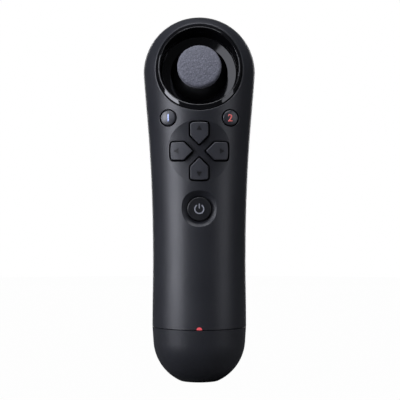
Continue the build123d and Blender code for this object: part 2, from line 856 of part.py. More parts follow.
# Housing of the stick mechanism, a folded steel box with a round mouth
with BuildPart() as housing:
    with BuildSketch(stick_plane.offset(-housing_bottom)):
        RectangleRounded(2 * housing_half, 2 * housing_half, housing_wall)
    extrude(amount=housing_bottom + housing_top)
    with BuildSketch(stick_plane.offset(-housing_bottom)):
        Rectangle(2 * (housing_half - housing_wall), 2 * (housing_half - housing_wall))
    extrude(amount=housing_bottom + housing_top - housing_wall, mode=Mode.SUBTRACT)
    with BuildSketch(stick_plane):
        Circle(housing_mouth_radius)
    extrude(amount=2 * housing_top, mode=Mode.SUBTRACT)
    with Locations(stick_plane.location * Rotation(90, 0, 0)):
        Cylinder(spindle_radius + pin_gap, 3 * housing_half, mode=Mode.SUBTRACT)
save(housing.part, "stick_housing")

# Carriage, the frame that holds the yoke and slides down when the stick is clicked
with BuildPart() as carriage:
    with BuildSketch(stick_plane.offset(-carriage_floor - carriage_floor_thickness)):
        Rectangle(2 * carriage_half_width, 2 * carriage_half_length)
    extrude(amount=carriage_floor + carriage_floor_thickness + carriage_top)
    with BuildSketch(stick_plane.offset(-carriage_floor)):
        Rectangle(2 * carriage_lug, 3 * carriage_half_length)
    extrude(amount=far, mode=Mode.SUBTRACT)
    with Locations(stick_plane.location * Rotation(0, 90, 0)):
        Cylinder(spindle_radius + pin_gap, 3 * carriage_half_width, mode=Mode.SUBTRACT)
save(carriage.part, "stick_carriage")

# Yoke, which tips the stick forwards and back on two short spindles
with BuildPart() as yoke:
    with Locations(stick_plane.location):
        Box(2 * yoke_half_width, 2 * yoke_half_length, 2 * yoke_half_height)
    with Locations(stick_plane.location * Rotation(0, 90, 0)):
        Cylinder(spindle_radius, 2 * carriage_half_width - 2 * pin_gap)
    with BuildSketch(stick_plane.offset(-far)):
        Rectangle(2 * yoke_slot_half, 2 * (stem_radius + fit_gap))
    extrude(amount=2 * far, mode=Mode.SUBTRACT)
    with Locations(stick_plane.location * Rotation(90, 0, 0)):
        Cylinder(stem_pin_radius + pin_gap, 4 * yoke_half_length, mode=Mode.SUBTRACT)
save(yoke.part, "stick_yoke")

# Cross arm, an arch over the yoke with a slot that follows the stick from side to side
with BuildPart() as cross_arm:
    arm_reach = arm_leg + arm_leg_thickness
    with BuildSketch(stick_plane.offset(-arm_leg_foot)):
        RectangleRounded(2 * arm_half_width, 2 * arm_reach, arm_leg_thickness / 2)
    extrude(amount=arm_leg_foot + arm_high)
    with BuildSketch(stick_plane.offset(-arm_leg_foot)):
        Rectangle(3 * arm_half_width, 2 * arm_leg)
    extrude(amount=arm_leg_foot + arm_low, mode=Mode.SUBTRACT)
    with BuildSketch(stick_plane):
        Rectangle(2 * (stem_radius + fit_gap), 2 * arm_slot_half)
    extrude(amount=far, mode=Mode.SUBTRACT)
    spindle_end = housing_half + potentiometer_depth / 2
    with Locations(stick_plane.location * Rotation(90, 0, 0) * Pos(0, 0, (arm_leg + spindle_end) / 2)):
        Cylinder(spindle_radius, spindle_end - arm_leg)
    with Locations(stick_plane.location * Rotation(90, 0, 0) * Pos(0, 0, -(arm_leg + housing_half) / 2)):
        Cylinder(spindle_radius, housing_half - arm_leg)
save(cross_arm.part, "stick_cross_arm")

# Potentiometers on two sides of the housing
for name, quarter in (("side_potentiometer", -90), ("fore_potentiometer", 0)):
    with BuildPart() as potentiometer:
        with Locations(stick_plane.location * Rotation(0, 0, quarter)):
            with Locations((housing_half, 0, -housing_bottom)):
                Box(
                    potentiometer_depth,
                    2 * potentiometer_half,
                    potentiometer_top + housing_bottom,
                    align=(Align.MIN, Align.CENTER, Align.MIN),
                )
            with Locations(Location((housing_half + potentiometer_depth / 4, 0, 0), (0, 90, 0))):
                Cylinder(spindle_radius + fit_gap, potentiometer_depth / 2 + 4 * fit_gap, mode=Mode.SUBTRACT)
    save(potentiometer.part, name)

# Click switch under the carriage, and the flat spring coil that lifts the carriage
click_height = housing_bottom - carriage_floor - carriage_floor_thickness - carriage_travel - keypad_gap
with BuildPart() as click_switch:
    with BuildSketch(stick_plane.offset(-housing_bottom)):
        Circle(click_radius)
    extrude(amount=click_height * 0.6)
    with BuildSketch(stick_plane.offset(-housing_bottom)):
        Circle(click_radius / 2)
    extrude(amount=click_height)
save(click_switch.part, "click_switch")

with BuildPart() as stick_spring:
    coil_height = housing_bottom - carriage_floor - carriage_floor_thickness - 2 * stick_spring_wire
    with BuildLine():
        coil = Helix(
            pitch=coil_height / stick_spring_turns,
            height=coil_height,
            radius=stick_spring_radius,
            center=stick_plane.offset(stick_spring_wire - housing_bottom).origin,
            direction=dish_normal,
        )
    with BuildSketch(Plane(coil @ 0, z_dir=coil % 0)):
        Circle(stick_spring_wire / 2)
    sweep(is_frenet=True)
save(stick_spring.part, "stick_spring")

# Small board under the mechanism, screwed to the surround's posts
with BuildPart() as stick_board:
    with BuildSketch(stick_plane.offset(-housing_bottom - board_thickness)):
        with Locations((0, (stick_board_rise - stick_board_half) / 2)):
            RectangleRounded(2 * stick_board_half, stick_board_rise + stick_board_half, 1.5)
        with Locations(*post_places):
            Circle(post_screw_radius + fit_gap, mode=Mode.SUBTRACT)
    extrude(amount=board_thickness)
save(stick_board.part, "stick_board")

with BuildPart() as stick_screws:
    with BuildSketch(stick_plane.offset(-housing_bottom - board_thickness)):
        with Locations(*post_places):
            Circle(post_screw_radius - screw_slack)
    extrude(amount=board_thickness + post_screw_length - 1)
    with BuildSketch(stick_plane.offset(-housing_bottom - board_thickness)):
        with Locations(*post_places):
            Circle(small_head_radius)
    extrude(amount=-small_head_height)
save(stick_screws.part, "stick_screws")

# Direction pad: four arms and a hub on one plate, rocking on a small ball. The arms' crown is a
# cone over the casing, but flatter across than the casing is.
pad_crown_half = pad_arm_end + pad_arm_gap + pad_arm_bulge
pad_crown_low = skin_reach(0, pad_z - pad_crown_half, -pad_proud) + pad_crown_flat
pad_crown_high = skin_reach(0, pad_z + pad_crown_half, -pad_proud) + pad_crown_flat
with BuildPart() as arrow_marks:
    with BuildSketch(upright(pad_pivot_depth)):
        with Locations((0, pad_z)):
            with PolarLocations(arrow_place, 4):
                Triangle(a=arrow_size * sqrt(3), b=arrow_size * sqrt(3), c=arrow_size * sqrt(3), rotation=-90)
    extrude(amount=far)
    with Locations((0, pad_crown_flat, pad_z)):
        Cone(pad_crown_low - arrow_depth, pad_crown_high - arrow_depth, 2 * pad_crown_half, mode=Mode.SUBTRACT)

with BuildPart() as direction_pad:
    with BuildSketch(upright(pad_plate_back)):
        with Locations((0, pad_z)):
            add(arm_faces(0.0))
    extrude(amount=far)
    with Locations((0, pad_crown_flat, pad_z)):
        Cone(pad_crown_low, pad_crown_high, 2 * pad_crown_half, mode=Mode.INTERSECT)
    fillet(direction_pad.faces().filter_by(GeomType.CONE).edges(), pad_edge_round)
    add(arrow_marks.part, mode=Mode.SUBTRACT)
    add(disc(upright(pad_plate_back), [(0, pad_z)], pad_plate_radius, pad_plate_thickness))
    hub_height = pad_pivot_depth - pad_hub_gap / 2 - pad_plate_back
    add(disc(upright(pad_plate_back), [(0, pad_z)], pad_hub_radius, hub_height))
    with Locations((0, -pad_pivot_depth, pad_z)):
        Sphere(pad_ball_radius + pin_gap, mode=Mode.SUBTRACT)
save(direction_pad.part, "direction_pad")

with BuildPart() as pad_ball:
    with Locations((0, -pad_pivot_depth, pad_z)):
        Sphere(pad_ball_radius)
save(pad_ball.part, "pad_pivot_ball")

# Action buttons, with domed crowns that lean outwards
action_reach = skin_reach(action_spread, action_z, -action_proud)
action_lean = radians(action_crown_lean)
crown_y = action_crown_radius * cos(action_lean) - action_reach
for number, side in ((1, -1), (2, 1)):
    x = side * action_spread
    with BuildPart() as action_flange:
        add(disc(upright(action_back), [(x, action_z)], action_flange_radius, action_flange_thickness))
        add(casing(wall + fit_gap), mode=Mode.INTERSECT)
    with BuildPart() as action_button:
        add(disc(upright(action_back), [(x, action_z)], action_radius, far))
        with Locations((x - side * action_crown_radius * sin(action_lean), crown_y, action_z)):
            Sphere(action_crown_radius, mode=Mode.INTERSECT)
        fillet(action_button.faces().filter_by(GeomType.SPHERE).edges(), action_edge_round)
        add(action_flange.part)
    save(action_button.part, f"action_button_{number}")

# Home button, sunk in its recess
with BuildPart() as home_button:
    add(disc(upright(home_back), [(0, home_z)], home_radius, home_reach - home_sunk - home_back))
    fillet(home_button.edges().sort_by(Axis.Y)[0], edge_round)
    add(disc(upright(home_back), [(0, home_z)], home_flange_radius, home_flange_thickness))
save(home_button.part, "home_button")

# Status light, a clear half-round rod that leads light from the board to the seam
with BuildPart() as status_light:
    add(disc(upright(light_depth), [(0, seam_height)], status_radius, far))
    add(casing(-status_proud), mode=Mode.INTERSECT)
    split(bisect_by=Plane.XY.offset(seam_height + seam_gap / 2), keep=Keep.TOP)
save(status_light.part, "status_light")

# Main board, upright in the grip
with BuildPart() as main_board:
    with BuildSketch(upright(board_back)):
        with Locations((0, board_bottom)):
            Rectangle(2 * board_half, board_top - board_bottom, align=(Align.CENTER, Align.MIN))
        with Locations((0, board_step)):
            Rectangle(2 * board_wide_half, board_top - board_step, align=(Align.CENTER, Align.MIN))
        with Locations(*board_screw_places):
            Circle(board_screw_radius + fit_gap, mode=Mode.SUBTRACT)
    extrude(amount=board_thickness)
save(main_board.part, "main_board")

with BuildPart() as processor:
    with Locations((0, -board_back + processor_height / 2, processor_place)):
        Box(processor_size, processor_height, processor_size)
save(processor.part, "processor")

with BuildPart() as radio_shield:
    with Locations((0, -board_front - shield_height / 2, shield_place)):
        Box(shield_width, shield_height, shield_length)
    fillet(radio_shield.edges().filter_by(Axis.Y), edge_round)
save(radio_shield.part, "radio_shield")

with BuildPart() as board_chips:
    with Locations((0, -board_front - chip_height / 2, chip_row_height)):
        with GridLocations(chip_spacing, 0, chip_count, 1):
            Box(chip_height, chip_height, 2 * chip_height)
save(board_chips.part, "board_chips")

with BuildPart() as light_source:
    with Locations((0, -board_front - chip_height / 2, board_bottom + chip_height)):
        Box(2 * chip_height, chip_height, 2 * chip_height)
save(light_source.part, "light_source")

# Rubber keypad on the board, with a key under each button. The keys are as far down as a press
# takes them.
pad_corner_swing = radians(pad_swing * sqrt(2))
pad_key_front = pad_plate_back - (pad_key_place + keypad_key_radius) * sin(pad_corner_swing) - keypad_gap
pad_key_places = [(x, z + pad_z) for x, z in (turned((pad_key_place, 0), a) for a in (0, 90, 180, 270))]
keypad_keys = [
    ([(0, home_z)], home_back - home_travel - keypad_gap),
    (action_places, action_back - action_travel - keypad_gap),
    (pad_key_places, pad_key_front),
]
with BuildPart() as keypad:
    with BuildSketch(upright(board_front)):
        with Locations((0, home_z - keypad_home_half)):
            Rectangle(2 * keypad_home_half, pad_z - home_z, align=(Align.CENTER, Align.MIN))
        with Locations((0, pad_z)):
            Rectangle(2 * keypad_pad_half, 2 * keypad_pad_half)
        with Locations((0, board_top - inner_gap)):
            Rectangle(
                2 * keypad_action_half,
                board_top - board_step - inner_gap,
                align=(Align.CENTER, Align.MAX),
            )
    extrude(amount=keypad_thickness)
    for places, key_front in keypad_keys:
        add(disc(upright(board_front), places, keypad_key_radius, key_front - board_front))
save(keypad.part, "keypad")

# Battery in its tray behind the board, its two leads, and their plug and socket
battery_middle = battery_bottom + battery_length / 2
with BuildPart() as battery:
    with Locations((0, battery_thickness / 2 - battery_front, battery_middle)):
        Box(2 * battery_half_width, battery_thickness, battery_length)
    fillet(battery.edges().filter_by(Axis.Z), 2 * edge_round)
save(battery.part, "battery")

with BuildPart() as battery_tray:
    tray_half = battery_half_width + tray_gap + tray_wall
    tray_length = battery_length + 2 * (tray_gap + tray_wall)
    with BuildSketch(upright(tray_back + tray_floor)):
        with Locations((0, battery_middle)):
            RectangleRounded(2 * tray_half, tray_length, edge_round)
    extrude(amount=-(tray_floor + tray_back + tray_side))
    with BuildSketch(upright(tray_back)):
        with Locations((0, battery_middle)):
            Rectangle(2 * (tray_half - tray_wall), tray_length - 2 * tray_wall)
    extrude(amount=-far, mode=Mode.SUBTRACT)
    add(disc(upright(board_back), board_screw_places, board_post_radius, tray_back + tray_floor - board_back))
    add(
        disc(upright(board_back), board_screw_places, board_screw_radius + fit_gap, -far),
        mode=Mode.SUBTRACT,
    )
save(battery_tray.part, "battery_tray")

lead_back = battery_thickness - battery_front - 2 * lead_radius
plug_back = socket_depth + plug_height - board_back
with BuildPart() as battery_leads:
    for x in (-lead_x, lead_x):
        with BuildLine() as lead_path:
            FilletPolyline(
                (x, lead_back, battery_bottom + battery_length),
                (x, lead_back, plug_z),
                (x, plug_back, plug_z),
                radius=lead_bend,
            )
        with BuildSketch(Plane(lead_path.line @ 0, z_dir=lead_path.line % 0)):
            Circle(lead_radius)
        sweep(path=lead_path.line)
save(battery_leads.part, "battery_leads")

with BuildPart() as battery_plug:
    with Locations((0, plug_back - plug_height / 2, plug_z)):
        Box(2 * plug_half_width, plug_height, plug_height)
save(battery_plug.part, "battery_plug")

with BuildPart() as battery_socket:
    with Locations((0, socket_depth / 2 - board_back, plug_z)):
        Box(2 * plug_half_width + 1, socket_depth, plug_height + 1)
save(battery_socket.part, "battery_socket")

with BuildPart() as board_screws:
    shank_length = board_screw_depth + tray_back
    add(disc(upright(tray_back), board_screw_places, board_screw_radius - screw_slack, shank_length))
    add(disc(upright(tray_back), board_screw_places, small_head_radius, -small_head_height))
save(board_screws.part, "board_screws")

# Ribbon from the stick's board to its socket on the main board
ribbon_plane = stick_plane.offset(-housing_bottom - board_thickness - ribbon_thickness)
ribbon_start = (ribbon_plane * Pos(0, ribbon_overlap - stick_board_half, 0)).position
ribbon_turn = (ribbon_plane * Pos(0, -stick_board_half - 2 * ribbon_bend, 0)).position
ribbon_end_z = ribbon_turn.Z
with BuildPart() as ribbon:
    with BuildSketch(sideways(-ribbon_half)):
        with BuildLine():
            FilletPolyline(
                (ribbon_start.Y, ribbon_start.Z),
                (ribbon_turn.Y, ribbon_turn.Z),
                (socket_depth / 2 - board_back, ribbon_end_z),
                radius=ribbon_bend,
            )
        trace(line_width=ribbon_thickness)
    extrude(amount=2 * ribbon_half)
save(ribbon.part, "stick_ribbon")

with BuildPart() as ribbon_socket:
    with Locations((0, socket_depth / 4 - board_back, ribbon_end_z)):
        Box(2 * ribbon_half + 1.5, socket_depth / 2, socket_depth)
save(ribbon_socket.part, "ribbon_socket")

# Screws that hold the rear case to the front case
with BuildPart() as case_screws:
    seat = -boss_meet - seat_thickness
    add(disc(upright(seat), case_screw_places, screw_radius - screw_slack, screw_length))
    add(disc(upright(seat), case_screw_places, screw_head_radius, -screw_head_height))
    with BuildSketch(upright(seat - screw_head_height)):
        with Locations(*case_screw_places):
            Rectangle(1.3 * screw_head_radius, 0.3 * screw_head_radius)
            Rectangle(0.3 * screw_head_radius, 1.3 * screw_head_radius)
    extrude(amount=screw_head_height / 2, mode=Mode.SUBTRACT)
save(case_screws.part, "case_screws")

# Trigger, a hollow lever that swings on a pin near its top
trigger_outline = trigger_side()
trigger_hollow = trigger_room()
trigger_front_x = trigger_reach * cos(radians(trigger_front_angle))
spring_room = spring_coil_radius + spring_wire + inner_gap
spring_end = Vector(cos(radians(spring_end_angle)), sin(radians(spring_end_angle))) * spring_coil_radius
spring_leg = Vector(sin(radians(spring_end_angle)), -cos(radians(spring_end_angle))) * spring_leg_length
with BuildPart() as spring_rest:
    with BuildSketch(sideways(spring_rest_start)):
        with Locations((trigger_y, trigger_z)):
            add(trigger_outline)
            with Locations((spring_end.X + spring_leg.X + spring_wire, spring_end.Y + spring_leg.Y)):
                Rectangle(
                    trigger_reach,
                    spring_rest_height,
                    align=(Align.MIN, Align.CENTER),
                    mode=Mode.INTERSECT,
                )
    extrude(amount=bracket_ear_inner - spring_rest_start)

with BuildPart() as trigger:
    with BuildSketch(sideways(-trigger_half_width)):
        with Locations((trigger_y, trigger_z)):
            add(trigger_outline)
    extrude(amount=2 * trigger_half_width)
    side_edges = trigger.edges().filter_by(lambda e: abs(abs((e @ 0.5).X) - trigger_half_width) < 0.01)
    outside = trigger_y + trigger_hub_radius
    fillet(side_edges.filter_by(lambda e: min((e @ 0).Y, (e @ 1).Y) > outside), trigger_edge_round)
    # The hollow, open to the front and clear of the spring
    with BuildSketch(sideways(-trigger_half_width + trigger_wall)):
        with Locations((trigger_y, trigger_z)):
            add(trigger_hollow)
    extrude(amount=2 * (trigger_half_width - trigger_wall), mode=Mode.SUBTRACT)
    with BuildSketch(sideways(-trigger_half_width + trigger_wall)):
        with Locations((trigger_y, trigger_z)):
            Polygon(
                (trigger_front_x + trigger_wall, -trigger_reach - 1),
                (spring_room, 0),
                (spring_room, trigger_reach),
                (-trigger_reach, trigger_reach),
                (-trigger_reach, -trigger_reach - 1),
                align=None,
            )
    extrude(amount=2 * (trigger_half_width - trigger_wall), mode=Mode.SUBTRACT)
    add(spring_rest.part)
    hub_middle = trigger_half_width - trigger_hub_length / 2
    for hub_x in (-hub_middle, hub_middle):
        with Locations(Location((hub_x, trigger_y, trigger_z), (0, 90, 0))):
            Cylinder(trigger_hub_radius, trigger_hub_length)
    with Locations(Location((0, trigger_y, trigger_z), (0, 90, 0))):
        Cylinder(trigger_pin_radius + pin_gap, 3 * trigger_half_width, mode=Mode.SUBTRACT)
save(trigger.part, "trigger")

with BuildPart() as trigger_pin:
    with Locations(Location((0, trigger_y, trigger_z), (0, 90, 0))):
        Cylinder(trigger_pin_radius, 2 * trigger_half_width - 2 * edge_round)
    chamfer(trigger_pin.edges(), edge_round / 2)
save(trigger_pin.part, "trigger_pin")

# Bumper, a hollow cap that slides in its opening above the trigger
with BuildPart() as bumper_room:
    with BuildSketch(bumper_plane.offset(bumper_skirt)):
        RectangleRounded(
            2 * (bumper_half_width - bumper_wall),
            2 * (bumper_half_height - bumper_wall),
            bumper_corner - bumper_wall,
        )
    extrude(amount=far)
    add(casing(bumper_wall - bumper_proud), mode=Mode.INTERSECT)

with BuildPart() as bumper:
    with BuildSketch(bumper_plane.offset(bumper_skirt)):
        RectangleRounded(2 * bumper_half_width, 2 * bumper_half_height, bumper_corner)
    extrude(amount=far)
    add(casing(-bumper_proud), mode=Mode.INTERSECT)
    fillet(on_skin(bumper.edges(), -bumper_proud), bumper_edge_round)
    add(bumper_room.part, mode=Mode.SUBTRACT)
    bumper_post_foot = switch_seat + switch_height + bumper_travel + keypad_gap
    with BuildSketch(bumper_plane.offset(bumper_post_foot)):
        Circle(bumper_post_radius)
    extrude(amount=head_radius + bumper_proud - bumper_wall / 2 - bumper_post_foot)
    with BuildSketch(bumper_plane.offset(bumper_skirt)):
        Rectangle(2 * bumper_tab_half, 2 * (bumper_half_height + bumper_tab_reach))
        Rectangle(2 * bumper_tab_half, 2 * (bumper_half_height - bumper_wall), mode=Mode.SUBTRACT)
    extrude(amount=bumper_tab_thickness)
save(bumper.part, "bumper")

# Bracket across the back, which carries the trigger's pin and the bumper's switch
with BuildPart() as bracket:
    wide_z = head_z - bracket_wide_drop
    shoulder_z = head_z - bracket_shoulder_drop
    with BuildSketch(upright(-bracket_back)):
        with BuildLine():
            Polyline(
                (bracket_foot_half, bracket_low),
                (bracket_half_width, wide_z),
                (bracket_half_width, shoulder_z),
                (bracket_neck_half, shoulder_z),
                (bracket_neck_half, bracket_neck_top),
                (-bracket_neck_half, bracket_neck_top),
                (-bracket_neck_half, shoulder_z),
                (-bracket_half_width, shoulder_z),
                (-bracket_half_width, wide_z),
                (-bracket_foot_half, bracket_low),
                close=True,
            )
        make_face()
    extrude(amount=bracket_thickness)
    add(casing(wall + fit_gap), mode=Mode.INTERSECT)
    # The tilted seat of the bumper's switch
    with BuildSketch(bumper_plane.offset(switch_seat - bracket_thickness)):
        Rectangle(2 * bracket_neck_half, 2 * switch_half_length + 2 * fit_gap)
    extrude(amount=bracket_thickness)
    # The ears for the pin
    for side in (-1, 1):
        ear_x = side * (bracket_ear_inner + bracket_ear_thickness / 2)
        with BuildSketch(sideways(ear_x)):
            with Locations((trigger_y, trigger_z)):
                Circle(trigger_hub_radius)
            with Locations((bracket_front, trigger_z)):
                Rectangle(
                    trigger_y + trigger_hub_radius - bracket_front,
                    trigger_z - wide_z,
                    align=(Align.MIN, Align.MAX),
                )
        extrude(amount=bracket_ear_thickness / 2, both=True)
    with Locations(Location((0, trigger_y, trigger_z), (0, 90, 0))):
        Cylinder(trigger_pin_radius + screw_slack, 3 * trigger_half_width, mode=Mode.SUBTRACT)
    add(
        disc(upright(-bracket_front), bracket_screw_places, bracket_screw_radius + fit_gap, -far),
        mode=Mode.SUBTRACT,
    )
save(bracket.part, "trigger_bracket")

with BuildPart() as bracket_screws:
    shank_length = bracket_thickness + bracket_screw_depth - fit_gap
    shank_radius = bracket_screw_radius - screw_slack
    add(disc(upright(-bracket_front), bracket_screw_places, shank_radius, -shank_length))
    add(disc(upright(-bracket_front), bracket_screw_places, small_head_radius, small_head_height))
save(bracket_screws.part, "bracket_screws")

with BuildPart() as bumper_switch:
    with BuildSketch(bumper_plane.offset(switch_seat)):
        Rectangle(2 * switch_half_width, 2 * switch_half_length)
    extrude(amount=switch_height - edge_round)
    with BuildSketch(bumper_plane.offset(switch_seat)):
        Circle(switch_key_radius)
    extrude(amount=switch_height)
save(bumper_switch.part, "bumper_switch")

with BuildPart() as trigger_sensor:
    with Locations((0, bracket_back + sensor_thickness / 2, head_z - sensor_drop)):
        Box(2 * sensor_half, sensor_thickness, sensor_height)
save(trigger_sensor.part, "trigger_sensor")

# Return spring round the trigger's pin, with one leg on the bracket and one on the trigger
spring_turns = spring_whole_turns + (spring_start_angle - spring_end_angle) / 360
spring_axis = Axis((spring_start, trigger_y, trigger_z), (1, 0, 0))
spring_coil = Helix(
    pitch=spring_pitch,
    height=spring_pitch * spring_turns,
    radius=spring_coil_radius,
    center=spring_axis.position,
    direction=spring_axis.direction,
).rotate(spring_axis, spring_end_angle - 90)
with BuildPart() as trigger_spring:
    with BuildLine() as spring_path:
        Line(spring_coil @ 0 - (spring_coil % 0) * spring_leg_length, spring_coil @ 0)
        add(spring_coil)
        Line(spring_coil @ 1, spring_coil @ 1 + (spring_coil % 1) * spring_foot_length)
    with BuildSketch(Plane(spring_coil @ 0 - (spring_coil % 0) * spring_leg_length, z_dir=spring_coil % 0)):
        Circle(spring_wire / 2)
    sweep(path=spring_path.wires()[0], is_frenet=True)
save(trigger_spring.part, "trigger_spring")

# USB socket on its board, and the two charging contacts
with BuildPart() as usb_socket:
    with BuildSketch(Plane.XY.offset(usb_recess)):
        RectangleRounded(2 * usb_half_width, 2 * usb_half_depth, usb_corner)
    extrude(amount=usb_length)
    with BuildSketch(Plane.XY.offset(usb_recess)):
        RectangleRounded(
            2 * (usb_half_width - usb_shell),
            2 * (usb_half_depth - usb_shell),
            usb_corner - usb_shell,
        )
    extrude(amount=usb_length - usb_shell, mode=Mode.SUBTRACT)
    with BuildSketch(Plane.XY.offset(2 * usb_recess)):
        Rectangle(2 * usb_tongue_half, usb_tongue_thickness)
    extrude(amount=usb_length - usb_recess)
save(usb_socket.part, "usb_socket")

with BuildPart() as usb_board:
    with Locations((0, usb_half_depth + board_thickness / 2, usb_board_bottom)):
        Box(2 * usb_board_half, board_thickness, usb_board_top - usb_board_bottom, align=LOW)
save(usb_board.part, "usb_board")

with BuildPart() as contacts:
    with Locations((-contact_x, contact_y, contact_recess), (contact_x, contact_y, contact_recess)):
        Box(2 * contact_half_width, 2 * contact_half_depth, contact_length, align=LOW)
    with Locations((-contact_x, contact_y, base_thickness), (contact_x, contact_y, base_thickness)):
        Box(
            2 * (contact_half_width + contact_head),
            2 * (contact_half_depth + contact_head),
            contact_head,
            align=LOW,
        )
save(contacts.part, "charging_contacts")
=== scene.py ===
# %% [markdown]
# # A one-hand navigation controller
# This lesson dresses a finished CAD model. The controller is a matt black grip that stands on its
# base, with a thumb stick in a gloss dish, a pad of four arrows, two round buttons, a home button
# and a small red light. The CAD pieces are the frame: they keep their place and shape, and most of
# them only need the finish of the real moulded part. A few pieces are made here, because they are
# ink, painted shade, grain or gilding and too fine for CAD.

# %% Open the frame
import math
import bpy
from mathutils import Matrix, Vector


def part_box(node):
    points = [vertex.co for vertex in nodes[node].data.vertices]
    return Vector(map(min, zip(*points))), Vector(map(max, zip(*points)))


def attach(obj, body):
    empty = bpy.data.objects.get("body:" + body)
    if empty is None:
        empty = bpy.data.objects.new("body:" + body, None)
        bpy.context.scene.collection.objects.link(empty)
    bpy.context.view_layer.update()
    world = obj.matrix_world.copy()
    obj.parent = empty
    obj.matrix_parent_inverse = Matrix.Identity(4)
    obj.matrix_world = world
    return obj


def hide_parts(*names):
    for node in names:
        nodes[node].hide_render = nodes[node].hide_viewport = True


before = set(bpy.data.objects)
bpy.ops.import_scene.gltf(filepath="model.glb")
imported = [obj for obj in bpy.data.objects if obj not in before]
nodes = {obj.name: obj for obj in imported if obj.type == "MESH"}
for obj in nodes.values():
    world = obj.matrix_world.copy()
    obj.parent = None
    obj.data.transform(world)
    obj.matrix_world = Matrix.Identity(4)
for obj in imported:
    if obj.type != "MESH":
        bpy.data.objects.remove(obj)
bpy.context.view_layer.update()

from types import SimpleNamespace

import bmesh
import bpy
from mathutils import Vector, noise
from mathutils.bvhtree import BVHTree

MM = 0.001

# %% [markdown]
# ## Small helpers
# A hex colour, as read off a screen, is stored with the sRGB curve, while a shader works in linear
# light, so one function converts it. A second function adds one node, sets its sockets and links
# what comes in. A function for each kind of node would be longer to read, and hide which node it
# is. Two more turn a real size in millimetres into the scale of a texture.

# %% Colours, nodes and scales
def linear(hex_code):
    """A screen colour such as #2b2c30 as linear red, green, blue and alpha."""
    parts = [int(hex_code[i:i + 2], 16) / 255 for i in (1, 3, 5)]
    return tuple(p / 12.92 if p <= 0.04045 else ((p + 0.055) / 1.055) ** 2.4 for p in parts) + (1.0,)


def add(tree, kind, settings=(), links=()):
    """One new node. A setting is a socket, by name or number, or else a property of the node."""
    new = tree.nodes.new(kind)
    for key, value in dict(settings).items():
        if isinstance(key, int) or key in new.inputs:
            new.inputs[key].default_value = value
        else:
            setattr(new, key, value)
    for key, source in dict(links).items():
        tree.links.new(source, new.inputs[key])
    return new


def per_metre(size_mm):
    """The scale of a texture whose features should be that many millimetres across."""
    return 1000.0 / size_mm


def waves(period_mm):
    """The scale of a wave texture whose bands should be that many millimetres apart."""
    return per_metre(period_mm) * math.pi / 10


print("a grain of 0.3 mm has the scale", round(per_metre(0.3)))

# %% [markdown]
# ## What every finish shares
# A moulded or machined surface is never quite even: its colour drifts a little, and the polish
# changes where fingers rub it. Each finish could be built from nothing, but they would repeat the
# same five nodes. So each one starts from the same frame, a Principled shader with a slow drift of
# tone and a fine relief, and then adds what is its own.

# %% A surface with slow drift and fine relief
def surface(name, dark, light, roughness, drift_mm, relief_mm, depth_mm, spread=0.06, **sockets):
    """A material whose colour drifts from dark to light, with the nodes that a finish builds on."""
    material = bpy.data.materials.new(name)
    material.use_nodes = True
    tree = material.node_tree
    tree.nodes.clear()
    place = add(tree, "ShaderNodeTexCoord").outputs["Object"]
    drift = add(tree, "ShaderNodeTexNoise",
                {"Scale": per_metre(drift_mm), "Detail": 3.0, "Roughness": 0.55}, {"Vector": place})
    relief = add(tree, "ShaderNodeTexNoise",
                 {"Scale": per_metre(relief_mm), "Detail": 2.0}, {"Vector": place})
    tone = add(tree, "ShaderNodeMix", {"data_type": "RGBA", 6: linear(dark), 7: linear(light)},
               {0: drift.outputs["Fac"]})
    rub = add(tree, "ShaderNodeMapRange",
              {"From Min": 0.3, "From Max": 0.7, "To Min": roughness - spread, "To Max": roughness + spread},
              {"Value": drift.outputs["Fac"]})
    bump = add(tree, "ShaderNodeBump", {"Strength": 1.0, "Distance": depth_mm * MM},
               {"Height": relief.outputs["Fac"]})
    shader = add(tree, "ShaderNodeBsdfPrincipled", sockets,
                 {"Base Color": tone.outputs[2], "Roughness": rub.outputs["Result"],
                  "Normal": bump.outputs["Normal"]})
    add(tree, "ShaderNodeOutputMaterial", {}, {"Surface": shader.outputs["BSDF"]})
    return SimpleNamespace(material=material, tree=tree, shader=shader, place=place,
                           tone=tone.outputs[2], relief=relief)


def plain(*numbers, **sockets):
    """The material alone, for a finish that needs nothing more."""
    return surface(*numbers, **sockets).material


def recolour(finish, colour):
    """Let one more node's colour take the place of the plain drift."""
    finish.tree.links.new(colour, finish.shader.inputs["Base Color"])


# %% [markdown]
# ## Matt ABS for the case
# The two half shells and the bottom cap are ABS, moulded in a tool whose steel was spark-eroded.
# That leaves a fine sandy grain, so the plastic looks soft charcoal and spreads its highlights
# wide. The real grain is near 0.1 mm. It is drawn at 0.3 mm, because a finer one would vanish in
# the render. A displaced mesh could carry it too, but a bump costs no triangles on so large a piece.

# %% Case plastic
case = surface("case_abs_spark_eroded", "#1d1e22", "#24252a", 0.415, 14.0, 0.3, 0.012, spread=0.02, IOR=1.53)
speck = add(case.tree, "ShaderNodeTexNoise", {"Scale": per_metre(0.35), "Detail": 1.0},
            {"Vector": case.place})
speck_mix = add(case.tree, "ShaderNodeMix", {"data_type": "RGBA", "blend_type": "SOFT_LIGHT", 0: 0.25},
                {6: case.tone, 7: speck.outputs["Color"]})
recolour(case, speck_mix.outputs[2])
print("case:", case.material.name)

# %% [markdown]
# ## Polished black for the dish
# The surround is the same family of plastic from a mirror-polished tool. What the eye sees on it
# is mostly the room: sharp lamps, with a slight waviness that moulded plastic keeps as it shrinks.
# A clear coat over a matt black would look like lacquer, so it is one bare glossy layer. Fine
# hairlines from cleaning show only as a little drift in the polish.

